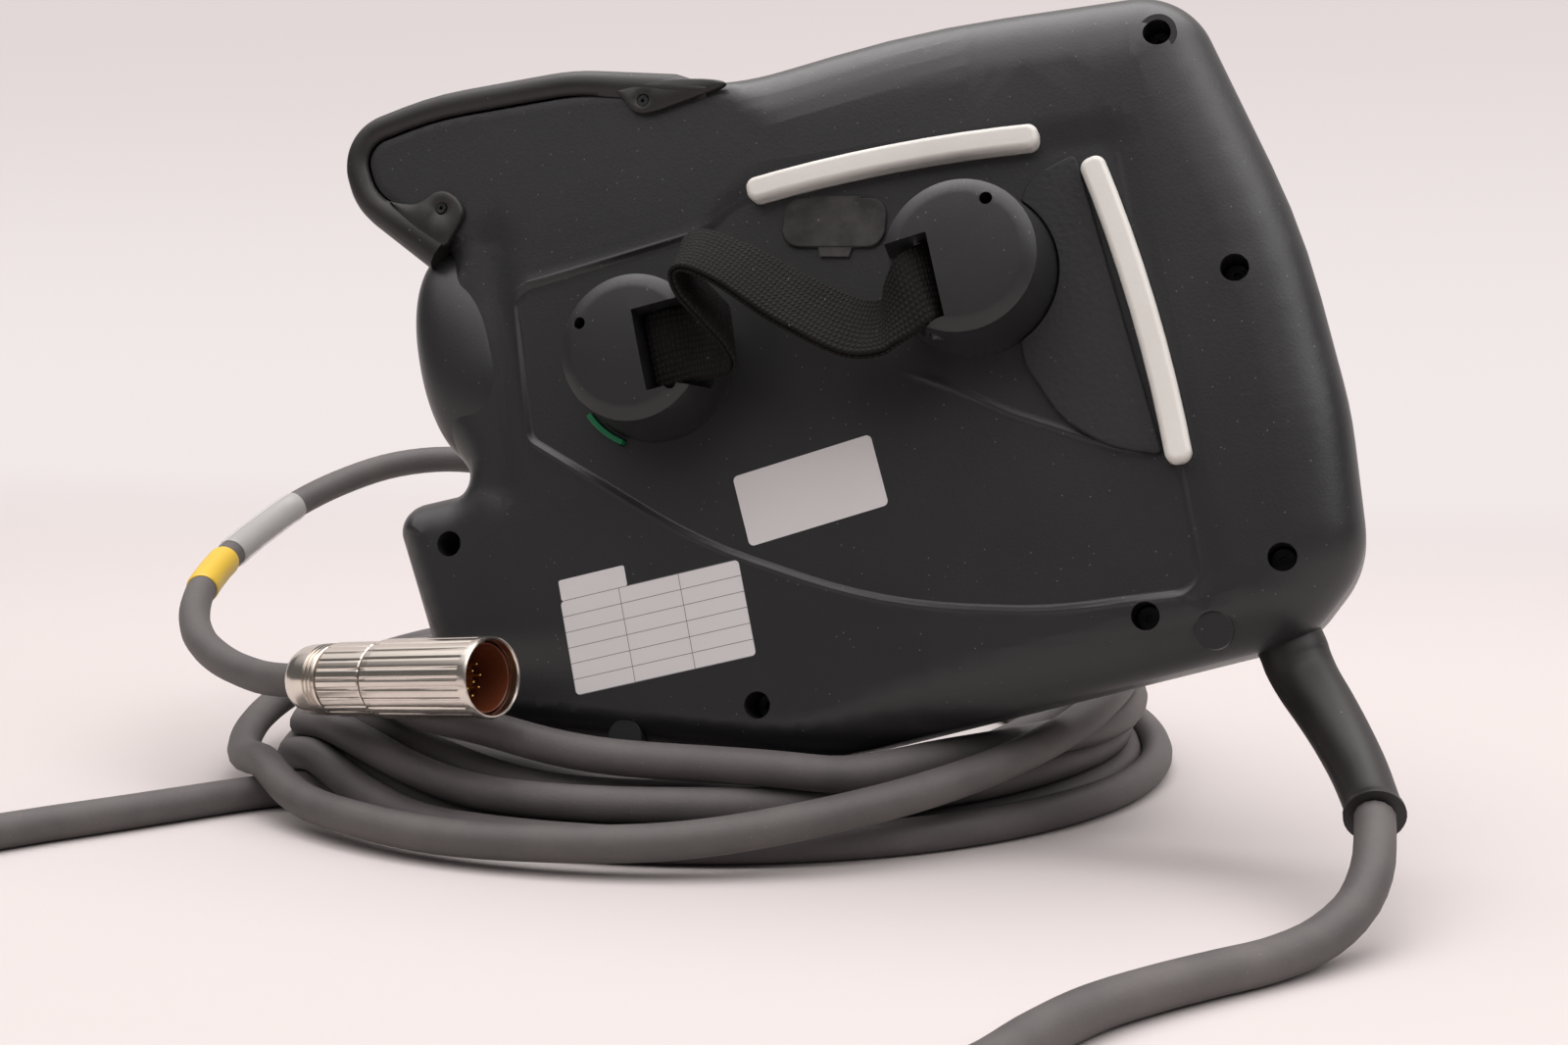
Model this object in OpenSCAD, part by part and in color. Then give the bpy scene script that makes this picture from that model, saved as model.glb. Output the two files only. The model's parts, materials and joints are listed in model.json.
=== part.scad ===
// Hand-held control panel for an industrial robot, with its coiled connecting cable.
// The pieces are drawn lying on the display side, +Z through the back, and placed() stands them up.

/* [Housing] */
// Width across the housing
body_w = 330; // [318:1:345]
// Height of the housing without the ear
body_h = 222; // [216:1:232]
// Rise of the ear above the top edge
ear_rise = 36; // [33:1:42]
// Depth of the rear shell, parting plane to back face
rear_h = 24; // [22:0.5:30]
// Depth of the front shell, parting plane to front face
front_h = 24; // [22:0.5:30]
// Wall of both shells
wall = 3.5; // [3:0.1:4]
// Width over which the back edge rounds off
edge_run = 16; // [12:1:17]
// Height over which the back edge rounds off
edge_rise = 19; // [14:1:19]
// Depth of the recessed field on the back
field_depth = 1.2; // [0.6:0.1:1.5]
// Thickness of the seal between the shells
seal_t = 1; // [0.6:0.1:1.6]

/* [Screws] */
// Diameter of the sunk screw holes in the back
sunk_d = 9; // [8:0.5:10]
// Diameter of the housing screws
screw_d = 4; // [3:0.5:4.5]
// Diameter of the small screws
small_d = 2.5; // [2:0.1:3]
// Clearance around a screw in its hole
screw_gap = 0.1; // [0.05:0.05:0.3]

/* [Grip] */
// Distance between the two grip domes
dome_pitch = 113; // [108:1:118]
// Height of a dome above the field
dome_h = 30; // [26:1:34]
// Radius of a dome at its foot
dome_foot_r = 28; // [26:0.5:29]
// Radius of a dome at its top
dome_top_r = 23.5; // [22:0.5:25]
// Width of the hand strap
strap_w = 25; // [20:1:25]
// Thickness of the hand strap
strap_t = 2.6; // [2:0.1:3]
// Length of the upper enabling bar
top_bar_l = 102; // [90:1:104]
// Length of the side enabling bar
side_bar_l = 106; // [90:1:108]
// Width of an enabling bar
bar_w = 8.4; // [7:0.2:9]
// Height of an enabling bar above the field
bar_h = 6.4; // [5:0.2:8]
// Travel of an enabling bar
bar_travel = 3; // [2:0.5:3]

/* [Front] */
// Width of the display window
window_w = 168; // [160:1:172]
// Height of the display window
window_h = 124; // [120:1:126]
// Thickness of the display window
window_t = 2; // [1.5:0.1:2.4]
// Height of a key above the front face
key_h = 1.6; // [1.2:0.1:2.5]
// Travel of a key
key_travel = 0.8; // [0.5:0.1:0.9]
// Clearance around a moving piece in its opening
gap = 0.3; // [0.2:0.05:0.5]
// Diameter of the stop mushroom
mushroom_d = 36; // [32:1:37]
// Diameter of the round mouse cap
mouse_d = 42; // [36:1:44]

/* [Cable] */
// Diameter of the cable
cable_d = 12; // [11:0.5:13]
// Diameter of the coupling ring of the plug
ring_d = 27; // [26:0.5:28]
// Length of the plug from back nut to mouth
plug_l = 88; // [84:1:92]

/* [Pose] */
// Turn of the panel in its own plane, right side up
roll = 15.3; // [0:0.1:20]
// Lean of the panel away from the back's side
lean = 12; // [0:0.5:20]

/* [Hidden] */
$fn = 48;
$fa = 6;
eps = 0.01;
thin = 0.05;            // fit between a turning piece and its bore

// Edges of the housing, measured from the middle of the grip field
right = 149;
left = right - body_w;
top = 99;
bottom = top - body_h;
ear_top = top + ear_rise;

// Rounding of the front face's edge
face_run = 7;
face_rise = 9;

// Levels through the housing
half_seal = seal_t / 2;
back_in = rear_h - wall;
front_in = wall - front_h;
field_z = rear_h - field_depth;

// The object's middle and the floor, as seen from the grip field
middle = [-13, 2.6, -2.9];
floor_z = -151.5;

// Outline corners, anticlockwise seen from the back: [x, y, corner radius, share of the back edge's rounding]
HOUSING = [
    [right - 15, top, 22, 1],
    [-14, top, 8, 0.7],
    [-27, top + 9.5, 8, 0.4],
    [-78, ear_top - 8.5, 60, 0.3],
    [left + 8, ear_top + 0.5, 13, 0.3],
    [left + 42, top - 19, 8, 0.6],
    [left + 23, top - 41, 26, 1.5],
    [left + 23, top - 77, 26, 1.5],
    [left + 35, top - 102, 6, 0.6],
    [left, top - 101, 11, 0.8],
    [left + 11, bottom + 38, 28, 1],
    [-46, bottom, 120, 1],
    [right + 1, bottom + 5, 30, 1],
    [right, bottom + 62, 90, 1]];

// Named places on the back
screw_at = [[right - 29, top - 14.5], [right - 23, top - 98], [right - 30, bottom + 31],
    [right - 75, bottom + 22.5], [-56.5, bottom + 22], [left + 25, top - 121]];
plug_at = [[93.5, bottom + 13.5], [-105, bottom + 21.5]];
dome_mid = [-11.5, 21.5];
dome_l = dome_mid - [dome_pitch / 2, 0];
dome_r = dome_mid + [dome_pitch / 2, 0];
lug_at = [[-54.5, ear_top - 22], [left + 45, top - 2]];
mouse_at = [left + 68, top - 60];
estop_at = [left + 54, ear_top - 27];
window_at = [22, 14];
gland_at = [115, bottom + 5];
switch_at = [[-50, top - 6], [-76, top - 2], [-99, top]];
small_head = small_d * 1.5;
dome_seat = 8;
lug_z = rear_h + 0.2;
lug_t = 2.4;
plug_top = rear_h - 8 - 1.6;
slot_w = strap_w + 3;
slot_floor = 12;
slot_in = [3.4, -8.3];
slot_y = [-2.5, -4.5];
pin_d = 4;
pin_z = 18;
cover_at = [2.5, top - 47];
cover_turn = -16;
bead_r = 0.8;   // round bead along the cover's hinge line
socket_w = 24;
socket_h = 8;

// Start key on the back, an arc round the foot of the left dome
start_r = dome_foot_r + 1.2;
start_w = 3.4;
start_a = 203;
start_span = 32;

// Necks of the front controls that pass through the face
estop_neck_r = 11;
switch_neck_r = 7;

// Inner levels: printed boards and the posts that carry them
board_t = 1.6;
board_z = -8;
flange_t = 1;
key_board_z = front_in + flange_t + key_travel + 0.4;
post_at = [[right - 38, -1], [-65.5, 60], [-65.5, -40]];

// Keys as [x, y, width, height], seen from the back
function row(x, y, n, pitch, w, h) = [for (i = [0 : n - 1]) [x + i * pitch, y, w, h]];
function column(x, y, n, pitch, w, h) = [for (i = [0 : n - 1]) [x, y - i * pitch, w, h]];
keys_menu = row(-18, window_at[1] + window_h / 2 + 7, 6, 22, 15, 6);
keys_soft = row(-50, window_at[1] - window_h / 2 - 7.5, 7, 24, 17, 6);
keys_left = column(right - 31, 67, 4, 13.5, 17, 7.5);
keys_right = column(window_at[0] - 100, 62, 7, 15, 12, 9);
keys_letter = [for (j = [0 : 3]) each row(-42, -71 - 11 * j, 6, 10.4, 8, 7.5)];
keys_number = [for (j = [0 : 3]) each row(25, -71 - 11 * j, 4, 11, 9, 7.5)];
keys_arrow = [[-116, -30, 9, 8], [-116, -54, 9, 8], [-128, -42, 8, 9], [-104, -42, 8, 9]];
key_stop = [right - 28, -21, 18, 12];
key_start = [right - 28, -42, 18, 12];
key_backward = [right - 28, -63, 18, 12];
key_escape = [right - 28, 14, 17, 7];
key_window = [window_at[0] - 100, -43, 12, 9];
key_enter = [-116, -76, 26, 11];
key_groups = [keys_menu, keys_soft, keys_left, keys_right, keys_letter, keys_number, keys_arrow];
key_singles = [key_stop, key_start, key_backward, key_escape, key_window, key_enter];

// Key boards as [middle, size, places of their posts]
menu_y = keys_menu[0][1];
soft_y = keys_soft[0][1];
side_x = right - 28;
status_x = window_at[0] - 100;
key_board_list = [
    [[37, menu_y], [128, 8.6], [[-7, menu_y], [81, menu_y]]],
    [[22, soft_y], [164, 8.6], [[-38, soft_y], [82, soft_y]]],
    [[side_x, 42.2], [20, 67.4], [[side_x, 33.2], [side_x, 73.7]]],
    [[side_x, -42], [20, 60], [[side_x, -31.5], [side_x, -52.5]]],
    [[status_x, 11.5], [15, 122], [[status_x, 70], [status_x, -35.5]]],
    [[8, -87.5], [114, 43], [[17.25, -76], [17.25, -99]]],
    [[-116, -54], [38, 62], [[-116, -42], [-116, -64.5]]]];
switch_top = 12;

// ---------------------------------------------------------------- geometry helpers
function unit(v) = v / norm(v);
function left_of(d) = [-d[1], d[0]];
function xy(p) = [p[0], p[1]];
function way(o, i) = unit(xy(o[(i + 1) % len(o)]) - xy(o[i]));
function turn(o, i) = let (d = way(o, (i + len(o) - 1) % len(o)), e = way(o, i))
    atan2(cross(d, e), d * e);

// An outline moved inwards by wall_in all round and by its own share of edge_in at each corner
function moved(o, wall_in, edge_in) = [for (i = [0 : len(o) - 1])
    let (a = left_of(way(o, (i + len(o) - 1) % len(o))), b = left_of(way(o, i)),
        by = wall_in + edge_in * o[i][3], p = xy(o[i]) + (a + b) * by / (1 + a * b))
    [p[0], p[1], max(0.8, o[i][2] - sign(turn(o, i)) * by), o[i][3]]];

// Points of an outline whose corners are arcs; steps come from the outline as drawn
function steps(o) = [for (i = [0 : len(o) - 1]) max(2, ceil(abs(turn(o, i)) / 11))];
function rounded(o, n) = [for (i = [0 : len(o) - 1])
    let (p = xy(o[i]), d = way(o, (i + len(o) - 1) % len(o)), t = turn(o, i), r = o[i][2],
        s = sign(t), start = p - d * r * tan(abs(t) / 2), c = start + s * left_of(d) * r)
    each [for (k = [0 : n[i]]) let (w = t * k / n[i], v = start - c)
        c + [v[0] * cos(w) - v[1] * sin(w), v[0] * sin(w) + v[1] * cos(w)]]];
function ring_at(o, wall_in, edge_in) = rounded(moved(o, wall_in, edge_in), steps(o));

// A solid between rings of equal length, closed by its first and last ring
module loft(rings) {
    n = len(rings[0]);
    m = len(rings);
    polyhedron([for (r = rings) each r],
        concat([[for (k = [n - 1 : -1 : 0]) k]],
            [for (j = [0 : m - 2], k = [0 : n - 1])
                [j * n + k, j * n + (k + 1) % n, (j + 1) * n + (k + 1) % n, (j + 1) * n + k]],
            [[for (k = [0 : n - 1]) (m - 1) * n + k]]), convexity = 8);
}
function lift(ring, z) = [for (p = ring) [p[0], p[1], z]];

// Rounding of an edge: [run, height below the face] along a quarter ellipse
function edge(run, rise, n) = [for (k = [n : -1 : 0]) [run * (1 - cos(90 * k / n)), rise * (1 - sin(90 * k / n))]];

// Rounded rectangle, as an outline and as a flat shape
function box_outline(w, h, r) = [[w / 2, h / 2, r, 1], [-w / 2, h / 2, r, 1], [-w / 2, -h / 2, r, 1], [w / 2, -h / 2, r, 1]];
module box2(w, h, r) { polygon(ring_at(box_outline(w, h, r), 0, 0)); }

// A button of outline o with softly rounded upper edges
module cushion(o, h, soft) {
    loft([for (e = edge(soft, soft, 3)) lift(ring_at(o, e[0], 0), h - e[1]), lift(ring_at(o, 0, 0), 0)]);
}
// Draws with +Z through the front face
module front() { mirror([0, 0, 1]) children(); }
module at(p, z) { translate([p[0], p[1], z]) children(); }
module ring3(ro, ri, h) { difference() { cylinder(r = ro, h = h); translate([0, 0, -1]) cylinder(r = ri, h = h + 2); } }

// Stands the pieces up: back towards -Y, rolled and leaning, in the object's own frame
module placed() { translate(-middle) rotate([-lean, 0, 0]) rotate([0, -roll, 0]) rotate([90, 0, 0]) children(); }

// ---------------------------------------------------------------- housing
EVEN = [for (c = HOUSING) [c[0], c[1], c[2], 1]];

// Tool that rounds the upper edge of an extruded outline: a closed ring whose inner side is the
// quarter ellipse, carried on straight past both ends
module rim_cut(o, base, run, rise, h) {
    e = edge(run, rise, 4);
    past = 0.12;
    a = e[0] + past * (e[0] - e[1]);
    b = e[4] + past * (e[4] - e[3]);
    s = concat([[base - 3, 0, h + 2], [base, a[0], h + 2], [base, a[0], h - a[1]]],
        [for (i = [1 : 3]) [base, e[i][0], h - e[i][1]]], [[base, b[0], h - b[1]], [base - 3, 0, h - b[1]]]);
    slack = [for (c = o) [c[0], c[1], c[2] * 1.006, c[3]]];  // its corners a hair rounder than the block's
    rings = [for (l = s) lift(ring_at(slack, l[0], l[1]), l[2])];
    n = len(rings[0]);
    m = len(rings);
    polyhedron([for (r = rings) each r], [for (j = [0 : m - 1], k = [0 : n - 1])
        [j * n + k, ((j + 1) % m) * n + k, ((j + 1) % m) * n + (k + 1) % n, j * n + (k + 1) % n]], convexity = 8);
}
module rounded_block(o, base, low, h, run, rise) difference() {
    translate([0, 0, low]) linear_extrude(h - low) polygon(ring_at(o, base, 0));
    rim_cut(o, base, run, rise, h);
}
module shell(o, h, run, rise) difference() {
    rounded_block(o, 0, half_seal, h, run, rise);
    rounded_block(o, wall, -1, h - wall, run * 0.8, rise * 0.75);
}

// Field on the back: straight along the bars, closed below by a long rising curve
FIELD = [[right - 51.5, top - 46, 6, 1], [-28, top - 30, 22, 1], [-42, top - 37.5, 20, 1], [-115.5, top - 38, 7, 1],
    [-119.5, top - 92, 6, 1], [-66, bottom + 80, 200, 1], [-8, bottom + 45, 200, 1], [44, bottom + 31, 160, 1],
    [93, bottom + 26.5, 8, 1]];

// Arched bar outlines: a straight run of corners bent along a circle of radius r
function arch(l, w, r, n) = let (a = asin(l / 2 / r))
    concat([for (k = [0 : n]) let (t = a - 2 * a * k / n) [(r + w / 2) * sin(t), (r + w / 2) * cos(t) - r, 1]],
        [for (k = [n : -1 : 0]) let (t = a - 2 * a * k / n) [(r - w / 2) * sin(t), (r - w / 2) * cos(t) - r, 1]]);
function bar_outline(l, w) = [for (p = arch(l - w * 0.2, w, 520, 6)) let (tip = abs(p[0]) > l * 0.45)
    [p[0], p[1], tip ? w * 0.42 : 60, 1]];
module at_top_bar() { translate([26, top - 31.5, 0]) rotate(-5.7) children(); }
module at_side_bar() { translate([right - 53.5, -4, 0]) rotate(-87) children(); }

module sunk_holes() {
    for (p = screw_at) translate([p[0], p[1], 0]) {
        translate([0, 0, 7]) cylinder(d = sunk_d, h = rear_h);
        cylinder(d = screw_d + 2 * screw_gap, h = rear_h);
    }
}

module dome_screws_at(side) {
    for (a = side > 0 ? [50, 236] : [142, -54]) rotate(a) translate([19.5, 0, 0]) children();
}

module rear_shell() color("#3b3d40") placed() difference() {
    union() {
        shell(HOUSING, rear_h, edge_run, edge_rise);
        for (p = screw_at) translate([p[0], p[1], half_seal + 0.2]) cylinder(d = sunk_d + 4, h = back_in - half_seal);
        for (s = [-1, 1]) translate(s < 0 ? dome_l : dome_r) dome_screws_at(s) translate([0, 0, 12]) cylinder(d = 8, h = back_in - 11.9);
        for (p = lug_at) translate([p[0], p[1], 12]) cylinder(d = 7, h = back_in - 11.9);
    }
    translate([0, 0, field_z]) linear_extrude(field_depth + 1) polygon(ring_at(FIELD, 0, 0));
    sunk_holes();
    for (s = [-1, 1]) translate(s < 0 ? dome_l : dome_r) dome_screws_at(s) translate([0, 0, 14]) cylinder(d = small_d + 2 * thin, h = 12);
    for (p = lug_at) translate([p[0], p[1], 14]) cylinder(d = small_d + 2 * thin, h = 12);
    for (p = plug_at) at(p, 8) cylinder(r = 6, h = rear_h);
    at_top_bar() translate([0, 0, back_in - 1]) linear_extrude(wall + 2) polygon(ring_at(bar_outline(top_bar_l, bar_w), -gap, 0));
    at_side_bar() translate([0, 0, back_in - 1]) linear_extrude(wall + 2) polygon(ring_at(bar_outline(side_bar_l, bar_w), -gap, 0));
    translate([cover_at[0], cover_at[1], back_in - 1]) rotate(cover_turn) linear_extrude(wall + 2) box2(socket_w + 2 * gap, socket_h + 2 * gap, 1);
    translate([dome_l[0], dome_l[1], back_in - 1]) rotate(start_a) rotate_extrude(angle = start_span) translate([start_r - gap, 0]) square([start_w + 2 * gap, wall + 2]);
    gland_cut();
}

module front_shell() color("#3b3d40") placed() difference() {
    union() {
        front() shell(EVEN, front_h, face_run, face_rise);
        for (p = screw_at) translate([p[0], p[1], front_in - 0.1]) cylinder(d = screw_d + 6, h = -front_in - half_seal - 0.1);
        for (p = post_at) translate([p[0], p[1], front_in - 0.1]) cylinder(d = 7, h = board_z - front_in + 0.1);
        for (b = key_board_list) for (p = b[2]) translate([p[0], p[1], front_in - 0.1]) cylinder(d = 4, h = key_board_z - front_in + 0.1);
    }
    for (p = screw_at) translate([p[0], p[1], 4 - front_h]) cylinder(d = screw_d + 2 * thin, h = front_h);
    for (p = post_at) translate([p[0], p[1], front_in + 2]) cylinder(d = small_d + 2 * thin, h = front_h);
    translate([window_at[0], window_at[1], -front_h - 1]) {
        linear_extrude(window_t + 1) box2(window_w + gap, window_h + gap, 4);
        linear_extrude(wall + 2) box2(window_w - 8, window_h - 8, 2);
    }
    for (g = key_groups) for (k = g) key_hole(k);
    for (k = key_singles) key_hole(k);
    translate([estop_at[0], estop_at[1], -front_h - 1]) cylinder(r = estop_neck_r + thin, h = wall + 2);
    for (p = switch_at) translate([p[0], p[1], -front_h - 1]) cylinder(r = switch_neck_r + thin, h = wall + 2);
    translate([mouse_at[0], mouse_at[1], -front_h - 1]) cylinder(r = mouse_d / 2 + 3, h = wall + 2);
    gland_cut();
}

module housing_gasket() color("#1c1c1c") placed() translate([0, 0, -half_seal]) difference() {
    linear_extrude(seal_t) difference() {
        polygon(ring_at(HOUSING, 0.6, 0));
        polygon(ring_at(HOUSING, wall - 0.4, 0));
    }
    gland_cut();
}

module housing_screws() color("#303030") placed() for (p = screw_at) translate([p[0], p[1], 0]) difference() {
    union() {
        translate([0, 0, 7]) cylinder(d = screw_d * 1.9, h = screw_d * 0.8);
        translate([0, 0, 5 - front_h]) cylinder(d = screw_d, h = front_h + 2 + eps);
    }
    translate([0, 0, 7 + screw_d * 0.3]) rotate(30) cylinder(d = screw_d * 0.75, h = screw_d, $fn = 6);
}

module small_screw(l) {
    cylinder(d = small_d, h = l + eps);
    translate([0, 0, l]) difference() {
        cylinder(d = small_head, h = small_d * 0.7);
        translate([0, 0, small_d * 0.3]) cylinder(d = small_d * 0.6, h = small_d, $fn = 6);
    }
}

module small_screws() color("#2a2a2a") placed() {
    for (s = [-1, 1]) at(s < 0 ? dome_l : dome_r, 15) dome_screws_at(s) small_screw(field_z + dome_seat - 15);
    for (p = lug_at) at(p, 15) small_screw(lug_z + lug_t - 15);
    for (p = post_at) at(p, board_z - 8) small_screw(8 + board_t);
}

module hole_plugs() color("#3b3d40") placed() for (p = plug_at) at(p, 8) cylinder(r = 6 - thin, h = plug_top);

// ---------------------------------------------------------------- grip on the back
module dome(side) {
    i = side < 0 ? 0 : 1;
    difference() {
        rotate_extrude() polygon(concat([[0, 0], [dome_foot_r, 0], [dome_foot_r - 0.6, 1.5]],
            [for (k = [0 : 4]) let (a = 90 * k / 4) [dome_top_r - 4 + 4 * cos(a), dome_h - 4.8 + 4 * sin(a)]],
            [[dome_top_r * 0.5, dome_h - 0.2], [0, dome_h]]));
        // the strap's slot, open towards the other dome
        translate([side < 0 ? slot_in[0] : slot_in[1] - 2 * dome_foot_r, slot_y[i] - slot_w / 2, slot_floor])
            cube([2 * dome_foot_r, slot_w, dome_h]);
        pin_line(side, slot_w + 8) cylinder(d = pin_d + 2 * thin, h = slot_w + 8);
        dome_screws_at(side) {
            translate([0, 0, -1]) cylinder(d = small_d + 2 * screw_gap, h = dome_seat + 2);
            translate([0, 0, dome_seat]) cylinder(d = small_head + 0.4, h = dome_h);
        }
    }
}
// Lays a pin of length l across the slot
module pin_line(side, l) {
    i = side < 0 ? 0 : 1;
    translate([slot_in[i] - side * 5, slot_y[i] - l / 2, pin_z]) rotate([-90, 0, 0]) children();
}
module grip_dome_left() color("#46474a") placed() at(dome_l, field_z) dome(-1);
module grip_dome_right() color("#46474a") placed() at(dome_r, field_z) dome(1);
module strap_pins() color("#8f9193") placed() for (s = [-1, 1]) at(s < 0 ? dome_l : dome_r, field_z)
    pin_line(s, slot_w + 7) cylinder(d = pin_d, h = slot_w + 7);

// The strap as a band: [middle, direction across it] at each station
STRAP = [
    [[dome_l[0] + 11.6, dome_l[1] + slot_y[0], 40], [0, 1, 0]],
    [[dome_l[0] + 17, 21, 47], [0.1, 1, 0.1]],
    [[-44, 27, 53.5], [0.35, 0.9, 0.1]],
    [[-34, 33, 57], [0.45, 0.85, 0.1]],
    [[-22, 29, 57], [0.5, 0.82, 0.15]],
    [[-8, 18, 53], [0.52, 0.8, 0.2]],
    [[6, 8, 46], [0.5, 0.82, 0.2]],
    [[17, 5, 40], [0.3, 0.92, 0.1]],
    [[24.5, 10, 38], [0.1, 1, 0]],
    [[30, 15.5, 39.6], [0, 1, 0]]];
module hand_strap() color("#241f1d") placed() {
    n = len(STRAP);
    rings = [for (i = [0 : n - 1]) let (p = STRAP[i][0], a = unit(STRAP[i][1]),
        d = unit(STRAP[min(i + 1, n - 1)][0] - STRAP[max(i - 1, 0)][0]), up = unit(cross(d, a)),
        w = strap_w / 2, t = strap_t / 2)
        [p + a * w + up * t, p - a * w + up * t, p - a * w - up * t, p + a * w - up * t]];
    points = [for (r = rings) each r];
    polyhedron(points, concat([[0, 1, 2, 3]],
        [for (i = [0 : n - 2], k = [0 : 3]) [i * 4 + k, i * 4 + 4 + k, i * 4 + 4 + (k + 1) % 4, i * 4 + (k + 1) % 4]],
        [[for (k = [3 : -1 : 0]) (n - 1) * 4 + k]]));
}

module connector_cover() color("#332f2d") placed() at(cover_at, field_z) rotate(cover_turn) {
    cushion(box_outline(36, 17, 6), 1.6, 0.6);
    translate([1, -9.5, 0]) linear_extrude(1.2) polygon([[-6.5, 3], [-5, -2.2], [5, -2.2], [6.5, 3]]);
    translate([-9, 8.5, bead_r]) rotate([0, 90, 0]) cylinder(r = bead_r, h = 18);
}
module service_socket() color("#1d1d1f") placed() at(cover_at, board_z + board_t) rotate(cover_turn) difference() {
    translate([0, 0, 0]) linear_extrude(field_z - 1 - board_z - board_t) box2(socket_w, socket_h, 1);
    translate([0, 0, field_z - 7 - board_z - board_t]) linear_extrude(8) box2(socket_w - 3, socket_h - 3, 0.5);
}

PAD = [[right - 63.2, top - 47.5, 2, 1], [69.5, top - 51, 14, 1], [58, 30, 20, 1], [54.5, -12, 16, 1], [62, -33, 30, 1],
    [76, -46.5, 30, 1], [right - 58, -52, 1.5, 1]];
module grip_pad() color("#37393b") placed() difference() {
    translate([0, 0, field_z]) cushion(PAD, 2.6, 1);
    at(dome_r, 0) cylinder(r = dome_foot_r + gap, h = 60);
}

module enable_bar(l) {
    o = bar_outline(l, bar_w);
    translate([0, 0, back_in - 0.2]) cushion(o, field_z + bar_h - back_in + 0.2, 2.4);
    translate([0, 0, back_in - 1.4]) linear_extrude(1.2 + eps) polygon(ring_at(bar_outline(l + 1.6, bar_w + 3), 0, 0));
    translate([0, 0, switch_top + bar_travel + 0.3]) cylinder(d = 5, h = back_in - 1.3 - switch_top - bar_travel - 0.3);
}
module enable_bar_top() color("#e4e1da") placed() at_top_bar() enable_bar(top_bar_l);
module enable_bar_side() color("#e4e1da") placed() at_side_bar() enable_bar(side_bar_l);
module enable_switches() color("#26282b") placed() {
    at_top_bar() enable_switch();
    at_side_bar() enable_switch();
}
module enable_switch() translate([0, 0, board_z + board_t]) {
    translate([-11, -4.5, 0]) cube([22, 9, switch_top - board_z - board_t - 2.5]);
    cylinder(d = 4, h = switch_top - board_z - board_t);
}
module rear_start_key() color("#12874a") placed() at(dome_l, 0) rotate(start_a) {
    translate([0, 0, field_z - 2.7]) rotate(0.6) rotate_extrude(angle = start_span - 1.2) translate([start_r, 0]) square([start_w, 6.2]);
    rotate(start_span / 2 - 6) translate([0, 0, back_in - 1.4]) rotate_extrude(angle = 12) translate([start_r - 1.5, 0]) square([start_w + 3, 1.2]);
}

// ---------------------------------------------------------------- rubber bumpers round the ear
// Section of a bumper: [outward step, share of the edge's rounding, height], first up the shell's
// edge, then over the top and down the outside
rub = 0.2;
REAR_LIP = concat([for (e = [for (k = [0 : 3]) edge(edge_run, edge_rise, 4)[4 - k]]) [rub, e[0], rear_h - e[1] + (e[0] > 0 ? rub : 0)]],
    [[rub, edge_run * 0.72, rear_h + 1.8], [3, 5, rear_h + 2.4], [5.6, 0, rear_h - 0.6], [7, 0, rear_h - 6], [7, 0, 3], [6.2, 0, 1], [rub, 0, 1]]);
FRONT_LIP = concat([[rub, 0, -4]], [for (k = [0 : 3]) let (e = edge(face_run, face_rise, 4)[4 - k]) [rub, e[0], e[1] - front_h - (k > 0 ? rub : 0)]],
    [[rub, 5.6, -front_h - 1.4], [2, 2, -front_h - 1.6], [5, 0, 1 - front_h], [5.6, 0, 6 - front_h], [5.6, 0, -4]]);
function span(n, i) = i == 0 ? 0 : n[i - 1] + 1 + span(n, i - 1);
module bumper(lip, o, start, taper) {
    n = steps(o);
    first = span(n, start);
    last = span(n, 5);
    m = len(lip);
    c = last - first + 1;
    on_wall = ring_at(o, -rub, 0);
    rings = [for (l = lip) ring_at(o, -l[0], l[1])];
    pts = [for (k = [first : last], j = [0 : m - 1])
        let (q = lip[j][0] > rub ? min(1, taper + (k - first) * 0.16) : 1, p = on_wall[k] * (1 - q) + rings[j][k] * q)
        [p[0], p[1], lip[j][2]]];
    polyhedron(pts, concat([[for (j = [0 : m - 1]) j]],
        [for (k = [0 : c - 2], j = [0 : m - 1]) [k * m + j, (k + 1) * m + j, (k + 1) * m + (j + 1) % m, k * m + (j + 1) % m]],
        [[for (j = [m - 1 : -1 : 0]) (c - 1) * m + j]]), convexity = 6);
}
LUGS = [[[-61, lug_at[0][1] + 7], [-60, lug_at[0][1] - 4], [-55, lug_at[0][1] - 8], [-45, lug_at[0][1] - 9], [-27, lug_at[0][1] - 6]],
    [[-8, 12], [-11, 3], [-6, -6], [0, -7.5], [6, -6], [8, -12], [4, -18], [-3, -16]]];
module ear_bumper_rear() color("#2b2624") placed() {
    bumper(REAR_LIP, HOUSING, 2, 0.45);
    difference() {
        translate([0, 0, lug_z]) linear_extrude(lug_t) {
            polygon(LUGS[0]);
            translate(lug_at[1]) polygon([[-14, 8], [-9, -10], [-5, -13], [5, -8], [8, 0], [5, 7], [-4, 9]]);
        }
        for (p = lug_at) at(p, 0) cylinder(d = small_head + 0.3, h = 60);
    }
}
module ear_bumper_front() color("#2b2624") placed() bumper([for (j = [len(FRONT_LIP) - 1 : -1 : 0]) FRONT_LIP[j]], EVEN, 3, 0.5);

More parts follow.
